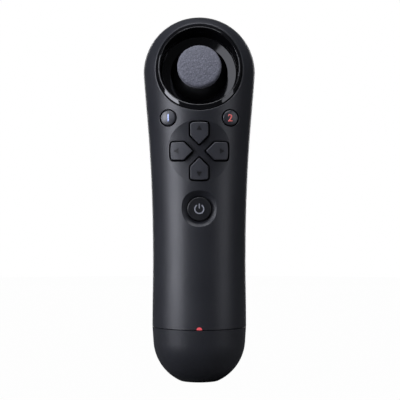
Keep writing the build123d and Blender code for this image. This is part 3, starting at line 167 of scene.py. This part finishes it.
# %% Dish plastic
dish = surface("dish_abs_polished", "#08080a", "#0b0b0d", 0.09, 6.0, 2.5, 0.004, spread=0.02, IOR=1.53)
hair = add(dish.tree, "ShaderNodeTexNoise", {"Scale": per_metre(0.25), "Detail": 1.0, "Distortion": 1.5},
           {"Vector": dish.place})
hair_range = add(dish.tree, "ShaderNodeMapRange",
                 {"From Min": 0.62, "From Max": 0.72, "To Min": 0.07, "To Max": 0.16},
                 {"Value": hair.outputs["Fac"]})
dish.tree.links.new(hair_range.outputs["Result"], dish.shader.inputs["Roughness"])
print("dish:", dish.material.name)

# %% [markdown]
# ## Rubber for the thumb
# The cap is a soft thermoplastic rubber with a leather grain, so that a thumb doesn't slip. The
# creases are about 0.8 mm apart, which is a little coarser than real ones, so that they show. Their
# relief is real geometry further on, because the cap is seen close up and its outline should show
# it. The material adds the dusty bloom that rubber has, as sheen, and painted shade in the creases.

# %% Cap rubber
cap_finish = surface("cap_rubber_grained", "#575862", "#62636d", 0.62, 3.0, 0.22, 0.02, spread=0.05, IOR=1.5)
cap_finish.shader.inputs["Sheen Weight"].default_value = 0.12
cap_finish.shader.inputs["Sheen Roughness"].default_value = 0.45
lean = add(cap_finish.tree, "ShaderNodeMapping",
           {"Rotation": (0.0, math.radians(38), 0.0), "Scale": (1.0, 1.0, 0.5)}, {"Vector": cap_finish.place})
cells = add(cap_finish.tree, "ShaderNodeTexVoronoi",
            {"feature": "DISTANCE_TO_EDGE", "Scale": per_metre(0.75)}, {"Vector": lean.outputs["Vector"]})
# Painted shade: the colour is darkened along the cell borders, where the creases lie.
crease_shade_range = add(cap_finish.tree, "ShaderNodeMapRange",
                   {"From Min": 0.0, "From Max": 0.16, "To Min": 0.62, "To Max": 1.0},
                   {"Value": cells.outputs["Distance"]})
crease_shade_mix = add(cap_finish.tree, "ShaderNodeMix", {"data_type": "RGBA", "blend_type": "MULTIPLY", 0: 1.0},
                 {6: cap_finish.tone, 7: crease_shade_range.outputs["Result"]})
recolour(cap_finish, crease_shade_mix.outputs[2])
print("cap:", cap_finish.material.name)

# %% [markdown]
# ## Satin plastic for keys and trigger
# Buttons and arrows are ABS with a finer grain than the case, worn smooth by the finger. They
# catch a soft line of light along their rounded edges. The trigger and bumper are the same, with
# a little more polish. The dust dome is acetal, which is waxy and nearly black. One material for
# all would be simpler, but in daylight each of these parts shines in its own way.

# %% Key, trigger and dome plastics
key_abs = plain("key_abs_satin", "#292a2f", "#323338", 0.46, 2.2, 0.28, 0.010, spread=0.04, IOR=1.53)
button_abs = plain("button_abs_satin", "#28292e", "#313237", 0.36, 3.0, 0.3, 0.006, spread=0.04, IOR=1.53)
trigger_abs = plain("trigger_abs_satin", "#1b1b1e", "#232327", 0.33, 8.0, 0.3, 0.007, spread=0.05, IOR=1.53)
dome_acetal = plain("dome_acetal_waxy", "#0d0d0f", "#141416", 0.38, 5.0, 0.4, 0.006, spread=0.05, IOR=1.48)
home_abs = plain("home_abs_dark", "#101114", "#17181b", 0.36, 3.5, 0.3, 0.006, spread=0.04, IOR=1.53)
print("keys:", key_abs.name, button_abs.name, home_abs.name)

# %% [markdown]
# ## Red light guide
# The small half-round light is a rod of red acrylic with a lamp behind it. Clear plastic carries
# the light to its end. A lamp inside the case would be the honest way, but it makes noise for a
# light of two millimetres, so the face glows a little by itself and lets some light through.

# %% Light guide
guide = surface("light_acrylic_red", "#cf4a52", "#e4666c", 0.22, 1.2, 0.6, 0.004, spread=0.04, IOR=1.49)
guide.shader.inputs["Transmission Weight"].default_value = 0.15
guide.shader.inputs["Emission Strength"].default_value = 0.35
guide.tree.links.new(guide.tone, guide.shader.inputs["Emission Color"])
print("light guide:", guide.material.name)

# %% [markdown]
# ## Inner plastics and rubber
# Most of the parts inside never show, but they are real parts and get their own finish: black
# acetal for the stick's moving pieces, white nylon for the plugs, silicone for the keypad and the
# leads, and moulded epoxy for the chips. Each is the shared surface with its own tone, grain and
# polish, and that is enough for a part this small.

# %% Inner plastics
mechanism_acetal = plain("mechanism_acetal", "#121214", "#1a1a1d", 0.4, 3.0, 0.3, 0.006, IOR=1.48)
plug_nylon = plain("plug_nylon_white", "#d9d6cc", "#e6e3d9", 0.42, 2.5, 0.3, 0.006, IOR=1.53)
keypad_silicone = plain("keypad_silicone_grey", "#6d6e72", "#7b7c80", 0.55, 4.0, 0.35, 0.008, IOR=1.41)
lead_silicone = plain("lead_silicone_red", "#8d1d1a", "#a12620", 0.45, 2.0, 0.3, 0.006, IOR=1.41)
chip_epoxy = plain("chip_epoxy_moulded", "#17171a", "#202024", 0.5, 1.5, 0.15, 0.008, IOR=1.55)
print("inner plastics:", mechanism_acetal.name, plug_nylon.name, keypad_silicone.name)

# %% [markdown]
# ## Ribbon and boards
# The ribbon is amber polyimide film with copper tracks, which a wave texture lays 0.8 mm apart. The
# boards are green lacquer over woven glass. The lacquer shows the weave under it as a faint grid of
# 0.5 mm, which is two wave textures at right angles, multiplied.

# %% Ribbon and board
ribbon = surface("ribbon_polyimide_film", "#8a4a12", "#9c5818", 0.3, 3.0, 1.0, 0.002, IOR=1.7)
track = add(ribbon.tree, "ShaderNodeTexWave", {"bands_direction": "X", "Scale": waves(0.8)},
            {"Vector": ribbon.place})
track_mix = add(ribbon.tree, "ShaderNodeMix", {"data_type": "RGBA", 7: linear("#b87a35")},
                {0: track.outputs["Fac"], 6: ribbon.tone})
recolour(ribbon, track_mix.outputs[2])

board = surface("board_glass_lacquered", "#0c3d22", "#14502e", 0.28, 5.0, 0.5, 0.004, IOR=1.5)
threads = [add(board.tree, "ShaderNodeTexWave", {"bands_direction": way, "Scale": waves(0.5)},
               {"Vector": board.place}).outputs["Fac"] for way in ("X", "Z")]
weave = add(board.tree, "ShaderNodeMath", {"operation": "MULTIPLY"}, {0: threads[0], 1: threads[1]})
weave_mix = add(board.tree, "ShaderNodeMix", {"data_type": "RGBA", 7: linear("#1d6a40")},
                {0: weave.outputs["Value"], 6: board.tone})
recolour(board, weave_mix.outputs[2])
print("ribbon and boards:", ribbon.material.name, board.material.name)

# %% [markdown]
# ## Metals
# A metal takes all its colour from what it reflects, so its tone is pale and its shader is fully
# metallic, with the default IOR. Rolled sheet has fine lines one way, which a noise squeezed along
# one axis gives. An anisotropic shader could do it as well, but it takes its direction from a UV
# map, which a CAD node doesn't have. Zinc plate is cloudy, the battery's pouch is dull foil, and
# gilding is warm.

# %% Sheet steel, plated screws, spring wire, foil and gilding
def lined_metal(name, dark, light, roughness, line_mm, stretch, depth_mm):
    """A metal with rolled or drawn lines: stretch squeezes the pattern along each axis."""
    metal = surface(name, dark, light, roughness, 4.0, line_mm, depth_mm, Metallic=1.0)
    squeeze = add(metal.tree, "ShaderNodeMapping", {"Scale": stretch}, {"Vector": metal.place})
    metal.tree.links.new(squeeze.outputs["Vector"], metal.relief.inputs["Vector"])
    return metal.material


sheet_steel = lined_metal("steel_sheet_rolled", "#a7a8aa", "#babbbd", 0.32, 0.25, (1.0, 1.0, 0.05), 0.004)
socket_steel = lined_metal("steel_socket_plated", "#b4b5b6", "#c6c7c8", 0.24, 0.3, (1.0, 1.0, 0.08), 0.003)
screw_zinc = lined_metal("screw_zinc_black", "#3a3a3d", "#4a4a4e", 0.36, 0.3, (1.0, 0.2, 1.0), 0.004)
inner_zinc = lined_metal("screw_zinc_bright", "#a9abad", "#bfc0c2", 0.34, 0.3, (1.0, 0.2, 1.0), 0.004)
spring_wire = lined_metal("spring_wire_drawn", "#8c8d90", "#9d9ea1", 0.3, 0.2, (0.1, 1.0, 1.0), 0.003)
pouch_foil = lined_metal("battery_pouch_foil", "#b9bbbf", "#cbccd0", 0.38, 1.4, (1.0, 1.0, 0.6), 0.02)
contact_gilt = lined_metal("contact_gilt", "#c9a050", "#dab468", 0.25, 0.25, (1.0, 1.0, 0.3), 0.003)
print("metals:", sheet_steel.name, screw_zinc.name, contact_gilt.name)

# %% [markdown]
# ## Dressing the CAD nodes
# A CAD node keeps its mesh. Only the material in its slot changes, so one table of names is
# enough. The print at the end shows that none was forgotten.

# %% One finish for each node
finishes = {
    case.material: ["front_case", "rear_case", "bottom_cap"],
    dish.material: ["stick_surround"],
    cap_finish.material: ["stick_cap"],
    dome_acetal: ["stick_dust_dome", "stick_stem"],
    key_abs: ["direction_pad"],
    button_abs: ["action_button_1", "action_button_2"],
    home_abs: ["home_button"],
    trigger_abs: ["trigger", "bumper"],
    guide.material: ["status_light"],
    mechanism_acetal: ["stick_carriage", "stick_yoke", "stick_cross_arm", "side_potentiometer",
                       "fore_potentiometer", "battery_tray", "trigger_bracket", "trigger_sensor",
                       "bumper_switch"],
    plug_nylon: ["battery_plug", "battery_socket", "ribbon_socket", "light_source"],
    keypad_silicone: ["keypad"],
    lead_silicone: ["battery_leads"],
    chip_epoxy: ["processor", "board_chips"],
    ribbon.material: ["stick_ribbon"],
    board.material: ["main_board", "stick_board", "usb_board"],
    sheet_steel: ["stick_housing", "radio_shield", "click_switch", "pad_pivot_ball", "stem_pin",
                  "trigger_pin"],
    socket_steel: ["usb_socket"],
    screw_zinc: ["case_screws"],
    inner_zinc: ["stick_screws", "board_screws", "bracket_screws"],
    spring_wire: ["stick_spring", "trigger_spring"],
    pouch_foil: ["battery"],
    contact_gilt: ["charging_contacts"],
}
dressed = set()
for material, names in finishes.items():
    for name in names:
        nodes[name].data.materials.clear()
        nodes[name].data.materials.append(material)
        dressed.add(name)
print("undressed nodes:", sorted(set(nodes) - dressed))

# %% [markdown]
# ## A finished plain mesh
# A piece often starts with modifiers. They are worked out once into a plain mesh on a new object at
# the origin, unturned and unscaled, because that is what rides on a body.

# %% Work out the modifiers
def plain_mesh(obj, name):
    """The object with its modifiers worked out, as a new plain object at the origin."""
    bpy.context.view_layer.update()
    made = bpy.data.meshes.new_from_object(obj.evaluated_get(bpy.context.evaluated_depsgraph_get()))
    made.name = name
    finished = bpy.data.objects.new(name, made)
    bpy.context.scene.collection.objects.link(finished)
    bpy.data.objects.remove(obj)
    return finished


# %% [markdown]
# ## The grain of the thumb cap
# The creases in the rubber are deep enough to feel, so they are geometry. They could be sculpted by
# hand, but a rule gives the same result each run. The creases are the borders of Voronoi cells,
# stretched along the grain, which rises to the right, and a slow noise keeps them from running
# straight.

# %% The rule of the creases
CREASE_SPACING = 0.8 * MM
CREASE_TURN = math.radians(40)
CREASE_STRETCH = 0.45
CREASE_BORDER = 0.35
WANDER_LENGTH_MM = 1.6


def crease(point):
    """How deep a crease is at a point, from 0 on a pebble of the grain to 1 in a crease."""
    across = point.x * math.sin(CREASE_TURN) - point.z * math.cos(CREASE_TURN)
    along = (point.x * math.cos(CREASE_TURN) + point.z * math.sin(CREASE_TURN)) * CREASE_STRETCH
    wander = noise.noise(point * per_metre(WANDER_LENGTH_MM)) * 0.5 * CREASE_SPACING
    cell = Vector((across + wander, along, point.y * 0.5)) / CREASE_SPACING
    near = noise.voronoi(cell)[0]
    return max(0.0, 1.0 - (near[1] - near[0]) / CREASE_BORDER) ** 1.3


print("crease depth at one corner of the cap's box:", round(crease(Vector(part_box("stick_cap")[0])), 2))

# %% [markdown]
# ## Cutting the creases
# CAD triangles are long and uneven, so a copy of the CAD cap first gets an even skin of small faces
# from a voxel remesh. Subdividing it would keep the long triangles. Then each point is pushed in
# where a crease runs. Points only move inwards, so the cap stays within its CAD size.

# %% Cut the creases
CAP_VOXEL = 0.16 * MM
CREASE_DEPTH = 0.1 * MM
shape = bmesh.new()
shape.from_mesh(nodes["stick_cap"].data)
bmesh.ops.remove_doubles(shape, verts=shape.verts, dist=0.001 * MM)
cap_mesh = bpy.data.meshes.new("cap_shape")
shape.to_mesh(cap_mesh)
shape.free()
cap = bpy.data.objects.new("cap_shape", cap_mesh)
bpy.context.scene.collection.objects.link(cap)
even = cap.modifiers.new("even skin", "REMESH")
even.mode = "VOXEL"
even.voxel_size = CAP_VOXEL
soft = cap.modifiers.new("soft steps", "SMOOTH")
soft.iterations = 4
cap = plain_mesh(cap, "thumb_cap")
starts = [(v.co.copy(), v.normal.copy()) for v in cap.data.vertices]
for vertex, (co, normal) in zip(cap.data.vertices, starts):
    vertex.co = co - normal * crease(co) * CREASE_DEPTH
cap.data.shade_smooth()
cap.data.materials.clear()
cap.data.materials.append(cap_finish.material)
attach(cap, "stick")
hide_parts("stick_cap")
print("thumb cap:", len(cap.data.polygons), "faces")

# %% [markdown]
# ## Ink on the buttons
# The signs on the buttons are printed, in a pale blue, a salmon red and a silver grey. The arrow
# marks get a black film of painted shade. Ink is a thin lacquer full of pigment, so it is a
# little smoother than the plastic and hides it. It could be a mask in the plastic's own material,
# but a separate material keeps both simple.

# %% Inks and a black film of painted shade
ink_blue = plain("ink_pale_blue", "#a9bbf0", "#bccbfa", 0.42, 1.0, 0.25, 0.003, IOR=1.5)
ink_red = plain("ink_salmon_red", "#f06c66", "#fb817a", 0.42, 1.0, 0.25, 0.003, IOR=1.5)
ink_silver = plain("ink_silver_grey", "#84868e", "#9799a1", 0.35, 1.0, 0.25, 0.003, IOR=1.5)
# This black film is painted shade for the floor of each arrow mark; it is not ink.
painted_shade_black = plain("painted_shade_black_matt", "#08080a", "#0d0d0f", 0.5, 1.0, 0.25, 0.003, IOR=1.5)
print("inks:", ink_blue.name, ink_red.name, ink_silver.name, painted_shade_black.name)

# %% [markdown]
# ## A film that follows the crown
# Pad printing presses a soft silicone pad onto the button, which lays an even film over its curved
# top. A texture could show it, but it needs an image or a UV map, and a film of real thickness
# needs neither. Each sign is a flat outline cut into small faces, dropped straight back onto the
# button, and given the thickness of the film, which reaches a little into the plastic.

# %% Lay a sign on a button
FILM = 0.03 * MM
SUNK = 0.05 * MM
FACE_SIZE = 0.3 * MM
IN_FRONT = -0.1


def lay_ink_and_shade_film(name, flat, node, body, material):
    """Drop a flat outline, given in X and Z, onto the front of a CAD node as a film: ink for a sign, painted
    shade for an arrow mark.
    """
    bmesh.ops.triangulate(flat, faces=flat.faces)
    while True:
        long_edges = [e for e in flat.edges if e.calc_length() > FACE_SIZE]
        if not long_edges:
            break
        bmesh.ops.subdivide_edges(flat, edges=long_edges, cuts=1)
        bmesh.ops.triangulate(flat, faces=flat.faces)
    target = BVHTree.FromObject(nodes[node], bpy.context.evaluated_depsgraph_get())
    for v in flat.verts:
        hit = target.ray_cast(Vector((v.co.x, IN_FRONT, v.co.z)), Vector((0, 1, 0)))[0]
        v.co.y = hit.y - FILM
    for f in flat.faces:
        if f.normal.y > 0:
            f.normal_flip()
    mesh = bpy.data.meshes.new(name)
    flat.to_mesh(mesh)
    flat.free()
    film = bpy.data.objects.new(name, mesh)
    bpy.context.scene.collection.objects.link(film)
    thick = film.modifiers.new("film", "SOLIDIFY")
    thick.thickness = FILM + SUNK
    thick.offset = -1
    film = plain_mesh(film, name)
    film.data.materials.clear()
    film.data.materials.append(material)
    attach(film, body)
    print(name, len(film.data.polygons), "faces")


# %% [markdown]
# ## A 1 and a 2
# A plain numeral tells the two round buttons apart. Text in the built-in font is made a mesh before
# it is scaled to its height and moved to its button, so nothing of the text object is left.

# %% Lay the numerals
NUMERAL_HEIGHT = 2.7 * MM
NUMERAL_BOLDER = 0.016


def middle(node):
    """The centre of a node's box in X and Z."""
    low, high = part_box(node)
    return ((low[0] + high[0]) / 2, (low[2] + high[2]) / 2)


def numeral(character, centre):
    """The outline of one numeral, standing in X and Z about a centre."""
    text = bpy.data.curves.new("numeral", "FONT")
    text.body = character
    text.offset = NUMERAL_BOLDER
    text.resolution_u = 6
    holder = bpy.data.objects.new("numeral", text)
    bpy.context.scene.collection.objects.link(holder)
    holder = plain_mesh(holder, "numeral_flat")
    flat = bmesh.new()
    flat.from_mesh(holder.data)
    bpy.data.objects.remove(holder)
    bmesh.ops.remove_doubles(flat, verts=flat.verts, dist=1e-5)
    xs = [v.co.x for v in flat.verts]
    ys = [v.co.y for v in flat.verts]
    scale = NUMERAL_HEIGHT / (max(ys) - min(ys))
    for v in flat.verts:
        across = (v.co.x - (min(xs) + max(xs)) / 2) * scale
        up = (v.co.y - (min(ys) + max(ys)) / 2) * scale
        v.co = Vector((centre[0] + across, 0, centre[1] + up))
    flat.normal_update()
    return flat


for character, ink in (("1", ink_blue), ("2", ink_red)):
    button = "action_button_" + character
    lay_ink_and_shade_film("numeral_" + character, numeral(character, middle(button)), button, "button_" + character, ink)

# %% [markdown]
# ## The power sign
# The home button has the common power sign. Two closed outlines make it: a ring with a gap at the
# top, and a bar that stands in the gap. A torus and a box would be quicker, but they don't follow
# the crown, and their ends are square. Both are drawn as rows of points, so the ends can be rounded
# like a pen stroke.

# %% Draw and lay the power sign
SIGN_RADIUS = 1.65 * MM
SIGN_STROKE = 0.42 * MM
SIGN_GAP = math.radians(38)
RING_STEPS = 36
BAR_HEIGHTS = (1.12, 0.8, 0.5, 0.2)
ROUND_END = [math.radians(turn) for turn in (60, 30, 0, -30, -60)]


def stroke(points, width):
    """One outline round a row of points, with round ends: a list of (x, z)."""
    half = width / 2
    left, right = [], []
    for i, p in enumerate(points):
        before, after = points[max(i - 1, 0)], points[min(i + 1, len(points) - 1)]
        way = math.atan2(after[1] - before[1], after[0] - before[0])
        left.append((p[0] - half * math.sin(way), p[1] + half * math.cos(way)))
        right.append((p[0] + half * math.sin(way), p[1] - half * math.cos(way)))
    ends = []
    for p, q in ((points[-2], points[-1]), (points[1], points[0])):
        way = math.atan2(q[1] - p[1], q[0] - p[0])
        ends.append([(q[0] + half * math.cos(way + a), q[1] + half * math.sin(way + a)) for a in ROUND_END])
    return left + ends[0] + right[::-1] + ends[1]


home = middle("home_button")
whole_turn = 2 * math.pi - 2 * SIGN_GAP
turns = [math.pi / 2 + SIGN_GAP + whole_turn * i / RING_STEPS for i in range(RING_STEPS + 1)]
ring = [(home[0] + SIGN_RADIUS * math.cos(a), home[1] + SIGN_RADIUS * math.sin(a)) for a in turns]
bar = [(home[0], home[1] + h * SIGN_RADIUS) for h in BAR_HEIGHTS]
flat = bmesh.new()
for outline in (stroke(ring, SIGN_STROKE), stroke(bar, SIGN_STROKE)):
    flat.faces.new([flat.verts.new((x, 0, z)) for x, z in outline])
flat.normal_update()
lay_ink_and_shade_film("power_sign", flat, "home_button", "home", ink_silver)

# %% [markdown]
# ## Painted shade in the arrow marks
# Each arm of the pad has a small sunk triangle that points outwards, with a black film of painted shade on
# its floor.
# The floor's faces could get a second material, but a CAD mesh is left as it is. So one flat
# triangle is drawn for each arm, a little smaller than the mark, and laid on that floor.

# %% Lay painted shade in the arrow marks
ARROW_PLACE = 8.2 * MM
ARROW_SIZE = 1.1 * MM
pad_middle = middle("direction_pad")
flat = bmesh.new()
for quarter in range(4):
    way = math.radians(90 * quarter)
    spot = (pad_middle[0] + ARROW_PLACE * math.cos(way), pad_middle[1] + ARROW_PLACE * math.sin(way))
    corners = [(spot[0] + ARROW_SIZE * math.cos(way + a), spot[1] + ARROW_SIZE * math.sin(way + a))
               for a in (0.0, math.radians(120), math.radians(240))]
    flat.faces.new([flat.verts.new((x, 0, z)) for x, z in corners])
flat.normal_update()
lay_ink_and_shade_film("pad_arrows", flat, "direction_pad", "pad", painted_shade_black)

# %% [markdown]
# ## Gilt fingers in the socket
# Inside the socket five flat contacts lie on the plastic tongue, 0.8 mm apart. They repeat, so
# Geometry Nodes make them: a line of points, and one bar placed on each. The tree's inputs are the
# real sizes, so another socket needs only other numbers.

# %% Build the tree for a row of fingers
FINGER_COUNT = 5
FINGER_PITCH = 0.8 * MM
FINGER_LENGTH = 6.0 * MM
tree = bpy.data.node_groups.new("contact_fingers", "GeometryNodeTree")
sockets = {}
for label, kind, value in (("Count", "NodeSocketInt", FINGER_COUNT),
                           ("Pitch", "NodeSocketFloat", FINGER_PITCH),
                           ("Width", "NodeSocketFloat", 0.32 * MM),
                           ("Thickness", "NodeSocketFloat", 0.12 * MM),
                           ("Length", "NodeSocketFloat", FINGER_LENGTH)):
    socket = tree.interface.new_socket(name=label, in_out="INPUT", socket_type=kind)
    socket.default_value = value
    sockets[socket.identifier] = value
tree.interface.new_socket(name="Geometry", in_out="OUTPUT", socket_type="NodeSocketGeometry")
given = add(tree, "NodeGroupInput").outputs
step = add(tree, "ShaderNodeCombineXYZ", {}, {"X": given["Pitch"]})
row = add(tree, "GeometryNodeMeshLine", {}, {"Count": given["Count"], "Offset": step.outputs["Vector"]})
size = add(tree, "ShaderNodeCombineXYZ", {},
           {"X": given["Width"], "Y": given["Thickness"], "Z": given["Length"]})
finger = add(tree, "GeometryNodeMeshCube", {"Vertices X": 3, "Vertices Y": 2, "Vertices Z": 7},
             {"Size": size.outputs["Vector"]})
placed = add(tree, "GeometryNodeInstanceOnPoints", {},
             {"Points": row.outputs["Mesh"], "Instance": finger.outputs["Mesh"]})
whole = add(tree, "GeometryNodeRealizeInstances", {}, {"Geometry": placed.outputs["Instances"]})
gilded = add(tree, "GeometryNodeSetMaterial", {"Material": contact_gilt},
             {"Geometry": whole.outputs["Geometry"]})
add(tree, "NodeGroupOutput", {}, {"Geometry": gilded.outputs["Geometry"]})
print("finger tree:", len(tree.nodes), "nodes")

# %% [markdown]
# ## Fingers on the tongue
# The row is made on an empty holder and then moved onto the tongue. A stamped contact has eased
# edges, so each bar is drawn in by a few hundredths of a millimetre at its face and at its ends.

# %% Place the fingers
TONGUE_FACE = 0.35 * MM
FINGER_RISE = 3.9 * MM
EASE = 0.02 * MM
EASED_END = 0.1 * MM
holder = bpy.data.objects.new("fingers_holder", bpy.data.meshes.new("fingers_holder"))
bpy.context.scene.collection.objects.link(holder)
builder = holder.modifiers.new("fingers", "NODES")
builder.node_group = tree
for identifier, value in sockets.items():
    builder[identifier] = value
fingers = plain_mesh(holder, "socket_fingers")
low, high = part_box("usb_socket")
half_row = FINGER_PITCH * (FINGER_COUNT - 1) / 2
for v in fingers.data.vertices:
    at_end = abs(v.co.z) > FINGER_LENGTH / 2 - EASED_END
    eased = EASE if v.co.y < 0 else -EASE if at_end else 0.0
    v.co = Vector((v.co.x - half_row, TONGUE_FACE + v.co.y + eased, low[2] + FINGER_RISE + v.co.z))
fingers.data.materials.clear()
fingers.data.materials.append(contact_gilt)
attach(fingers, "casing")
print("socket fingers:", len(fingers.data.polygons), "faces")

# %% [markdown]
# ## Floor
# The controller stands on plain paper that runs off to the back. A white floor that really is white
# would throw light up at the grip, so the camera sees white where the object sees grey paper. A
# small share of the paper stays in the camera's view, and keeps the object's faint shadow.

# %% Floor
FLOOR_RADIUS = 0.7
WHITE_SHARE = 0.985
floor_mesh = bpy.data.meshes.new("floor")
disc = bmesh.new()
bmesh.ops.create_circle(disc, cap_ends=True, segments=96, radius=FLOOR_RADIUS)
disc.to_mesh(floor_mesh)
disc.free()
floor = bpy.data.objects.new("floor", floor_mesh)
bpy.context.scene.collection.objects.link(floor)
floor_paper = bpy.data.materials.new("floor_paper_white")
floor_paper.use_nodes = True
tree = floor_paper.node_tree
tree.nodes.clear()
place = add(tree, "ShaderNodeTexCoord").outputs["Object"]
fibre = add(tree, "ShaderNodeTexNoise", {"Scale": per_metre(1.5), "Detail": 3.0}, {"Vector": place})
paper_tone = add(tree, "ShaderNodeMix", {"data_type": "RGBA", 6: linear("#5c5c5c"), 7: linear("#626262")},
                 {0: fibre.outputs["Fac"]})
paper = add(tree, "ShaderNodeBsdfDiffuse", {"Roughness": 0.5}, {"Color": paper_tone.outputs[2]})
white = add(tree, "ShaderNodeEmission", {"Color": (1.0, 1.0, 1.0, 1.0), "Strength": 1.0})
rays = add(tree, "ShaderNodeLightPath")
share = add(tree, "ShaderNodeMath", {"operation": "MULTIPLY", 1: WHITE_SHARE},
            {0: rays.outputs["Is Camera Ray"]})
mixed = add(tree, "ShaderNodeMixShader", {},
            {0: share.outputs["Value"], 1: paper.outputs["BSDF"], 2: white.outputs["Emission"]})
add(tree, "ShaderNodeOutputMaterial", {}, {"Surface": mixed.outputs["Shader"]})
floor.data.materials.append(floor_paper)
print("floor:", 2 * FLOOR_RADIUS, "m across")

# %% [markdown]
# ## World
# The camera sees white behind the controller. Gloss and clear plastic see that white only where it
# is, behind, and a dim studio in front. A world that is white all round would be one node, but it
# would turn the black plastic grey.

# %% World
world = bpy.data.worlds.new("studio")
bpy.context.scene.world = world
world.use_nodes = True
tree = world.node_tree
tree.nodes.clear()
rays = add(tree, "ShaderNodeLightPath")
way = add(tree, "ShaderNodeTexCoord").outputs["Generated"]
way_parts = add(tree, "ShaderNodeSeparateXYZ", {}, {"Vector": way})
behind = add(tree, "ShaderNodeMapRange", {"From Min": 0.9, "From Max": 0.97},
             {"Value": way_parts.outputs["Y"]})
shiny = add(tree, "ShaderNodeMath", {"operation": "MAXIMUM"},
            {0: rays.outputs["Is Glossy Ray"], 1: rays.outputs["Is Transmission Ray"]})
shiny_behind = add(tree, "ShaderNodeMath", {"operation": "MULTIPLY"},
                   {0: shiny.outputs["Value"], 1: behind.outputs["Result"]})
white_share = add(tree, "ShaderNodeMath", {"operation": "MAXIMUM"},
                  {0: rays.outputs["Is Camera Ray"], 1: shiny_behind.outputs["Value"]})
dim = add(tree, "ShaderNodeBackground", {"Color": linear("#c8ccd4"), "Strength": 0.08})
white = add(tree, "ShaderNodeBackground", {"Color": (1.0, 1.0, 1.0, 1.0), "Strength": 1.0})
mixed = add(tree, "ShaderNodeMixShader", {},
            {0: white_share.outputs["Value"], 1: dim.outputs["Background"], 2: white.outputs["Background"]})
add(tree, "ShaderNodeOutputWorld", {}, {"Surface": mixed.outputs["Shader"]})
print("world:", len(tree.nodes), "nodes")

# %% [markdown]
# ## Lamps
# The controller is lit as for a catalogue: one tall softbox far round to the left draws the long
# bright band down the grip, a weaker one on the right opens the other side, and one overhead
# lights the crown, the lower lip of the dish and the top edge of each key. A dim one in front, up
# on the left, is what the floor of the dish mirrors on its right side, and one behind gives the
# edges a fine line. Their light is a touch blue. Area lamps are used because their size sets how
# wide each band of light is.

# %% Lamps
def softbox(name, place, aim, width, height, watts, colour="#ffffff"):
    """An area lamp of that width and height in metres, facing a point."""
    lamp = bpy.data.lights.new(name, "AREA")
    lamp.shape = "RECTANGLE"
    lamp.size = width
    lamp.size_y = height
    lamp.energy = watts
    lamp.color = linear(colour)[:3]
    box = bpy.data.objects.new(name, lamp)
    box.location = place
    box.rotation_euler = (Vector(aim) - Vector(place)).to_track_quat("-Z", "Y").to_euler()
    box.visible_camera = False
    bpy.context.scene.collection.objects.link(box)
    print(name, watts, "W")


softbox("left_softbox", (-0.468, -0.278, 0.11), (0, 0, 0.07), 0.32, 0.50, 4.3, "#f2f4ff")
softbox("right_softbox", (0.468, -0.255, 0.12), (0, 0, 0.07), 0.24, 0.45, 0.74, "#f2f4ff")
softbox("front_softbox", (-0.169, -0.465, 0.36), (0, 0, 0.118), 0.18, 0.32, 0.46, "#f2f4ff")
softbox("top_softbox", (0.0, -0.14, 0.62), (0, 0, 0.1), 0.45, 0.40, 3.0, "#f6f8ff")
softbox("back_softbox", (0.0, 0.55, 0.12), (0, 0, 0.07), 0.40, 0.30, 1.6)

# %% [markdown]
# ## Camera
# It looks level along +Y from half a metre, at the middle of the grip. A picture of 400 pixels
# spans 152.5 mm at the grip's middle plane, and that span and the distance give the focal length.
# A longer lens from further away would flatten the form.

# %% Camera
DISTANCE = 0.51
SPAN = 0.1525
SENSOR_MM = 36.0
EYE_SIDE = 0.27 * MM
EYE_HEIGHT = 68.6 * MM
camera_data = bpy.data.cameras.new("camera")
camera_data.sensor_width = SENSOR_MM
camera_data.lens = SENSOR_MM * DISTANCE / SPAN
camera_data.dof.use_dof = False
camera_data.clip_start = 0.01
camera = bpy.data.objects.new("camera", camera_data)
camera.location = (EYE_SIDE, -DISTANCE, EYE_HEIGHT)
camera.rotation_euler = (math.radians(90), 0, 0)
bpy.context.scene.collection.objects.link(camera)
bpy.context.scene.camera = camera
bpy.context.scene.view_settings.view_transform = "Standard"
print("camera:", round(camera_data.lens, 1), "mm lens")
